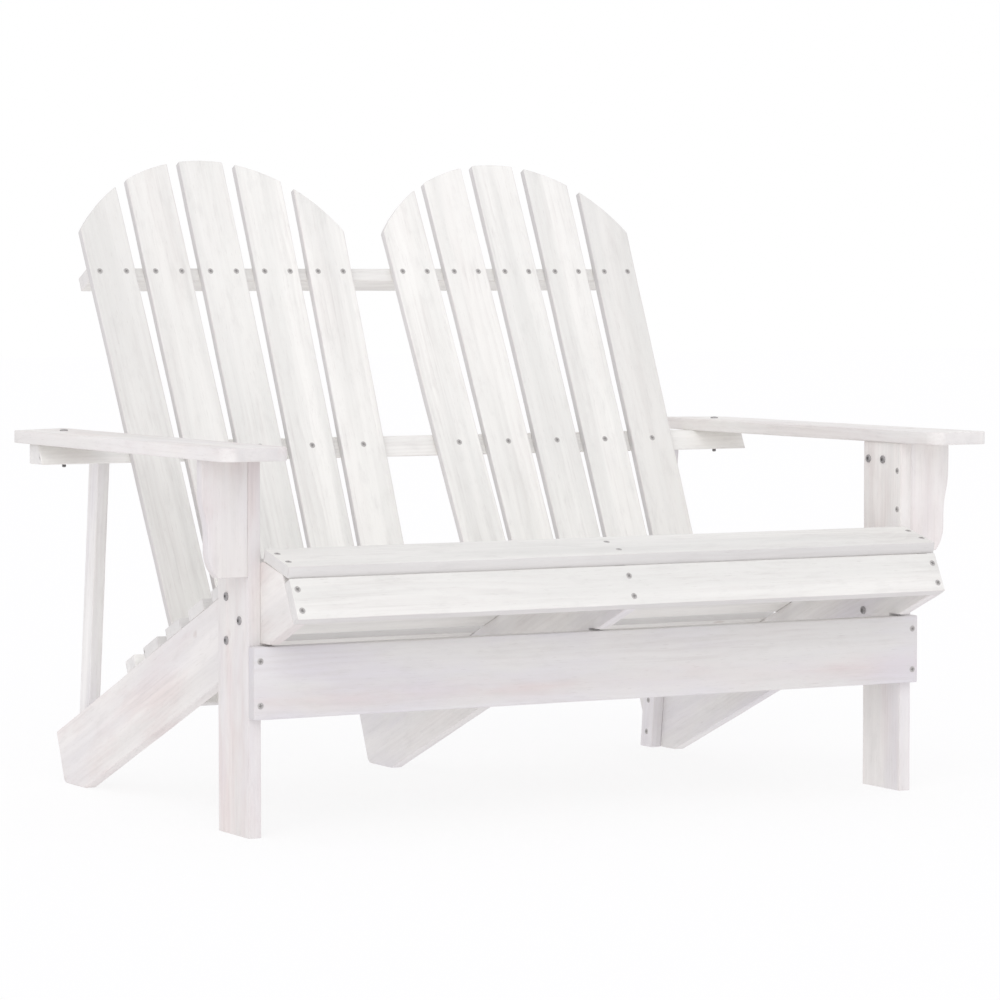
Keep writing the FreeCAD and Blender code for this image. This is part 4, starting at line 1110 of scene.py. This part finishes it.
def make_floor():
    """Large pale floor, softly lit from within: nearly white where it is seen, and it keeps a
    faint shadow."""
    half = FLOOR_HALF
    mesh = bpy.data.meshes.new("floor")
    corners = [(-half, -half, 0), (half, -half, 0), (half, half, 0), (-half, half, 0)]
    mesh.from_pydata(corners, [], [(0, 1, 2, 3)])
    floor = bpy.data.objects.new("floor", mesh)
    bpy.context.scene.collection.objects.link(floor)
    material, sheet, shader = new_material("pale_floor")
    shader.inputs["Base Color"].default_value = (0.95, 0.95, 0.95, 1.0)
    shader.inputs["Roughness"].default_value = 0.9
    shader.inputs["Specular IOR Level"].default_value = 0.0
    seen = seen_ray(sheet)
    glow = sheet.node("ShaderNodeEmission")
    sheet.join(sheet.mix(seen, FLOOR_GLOW, FLOOR_WHITE), glow.inputs["Color"])
    blend = sheet.node("ShaderNodeMixShader")
    share = sheet.plus(FLOOR_OWN_LIGHT, sheet.times(seen, FLOOR_SEEN_MORE))
    sheet.join(share, blend.inputs[0])
    sheet.tree.links.new(shader.outputs[0], blend.inputs[1])
    sheet.tree.links.new(glow.outputs[0], blend.inputs[2])
    sheet.tree.links.new(blend.outputs[0], sheet.tree.nodes["Material Output"].inputs[0])
    mesh.materials.append(material)


def make_world():
    """Even white surroundings: seen as plain white, and a softer white for the light they give."""
    world = bpy.data.worlds.new("studio")
    bpy.context.scene.world = world
    world.use_nodes = True
    sheet = Sheet(world.node_tree)
    ground = world.node_tree.nodes["Background"]
    sheet.join(sheet.mix(seen_ray(sheet), SKY_LIGHT, SKY_WHITE), ground.inputs["Color"])


def soft_sun(name, place, angle, strength):
    """Broad even light from the direction of a place, without falling off over the object."""
    lamp = bpy.data.lights.new(name, "SUN")
    lamp.angle = angle
    lamp.energy = strength
    stand = bpy.data.objects.new(name, lamp)
    stand.location = place
    stand.rotation_euler = Vector(place).to_track_quat("Z", "Y").to_euler()
    bpy.context.scene.collection.objects.link(stand)


def make_camera():
    """Long lens at the front left, a little above the arms; its shift places the frame."""
    lens = bpy.data.cameras.new("camera")
    lens.lens = CAMERA_LENS
    lens.sensor_width = 36.0
    lens.shift_y = CAMERA_SHIFT
    stand = bpy.data.objects.new("camera", lens)
    stand.location = CAMERA_EYE
    stand.rotation_euler = (CAMERA_AIM - CAMERA_EYE).to_track_quat("-Z", "Y").to_euler()
    bpy.context.scene.collection.objects.link(stand)
    bpy.context.scene.camera = stand


make_floor()
make_world()
soft_sun("key", place=(-2.9, -3.6, 3.4), angle=1.0, strength=0.62)
soft_sun("fill", place=(-2.6, -4.2, 0.9), angle=1.0, strength=0.26)
make_camera()
bpy.context.scene.view_settings.view_transform = "Standard"
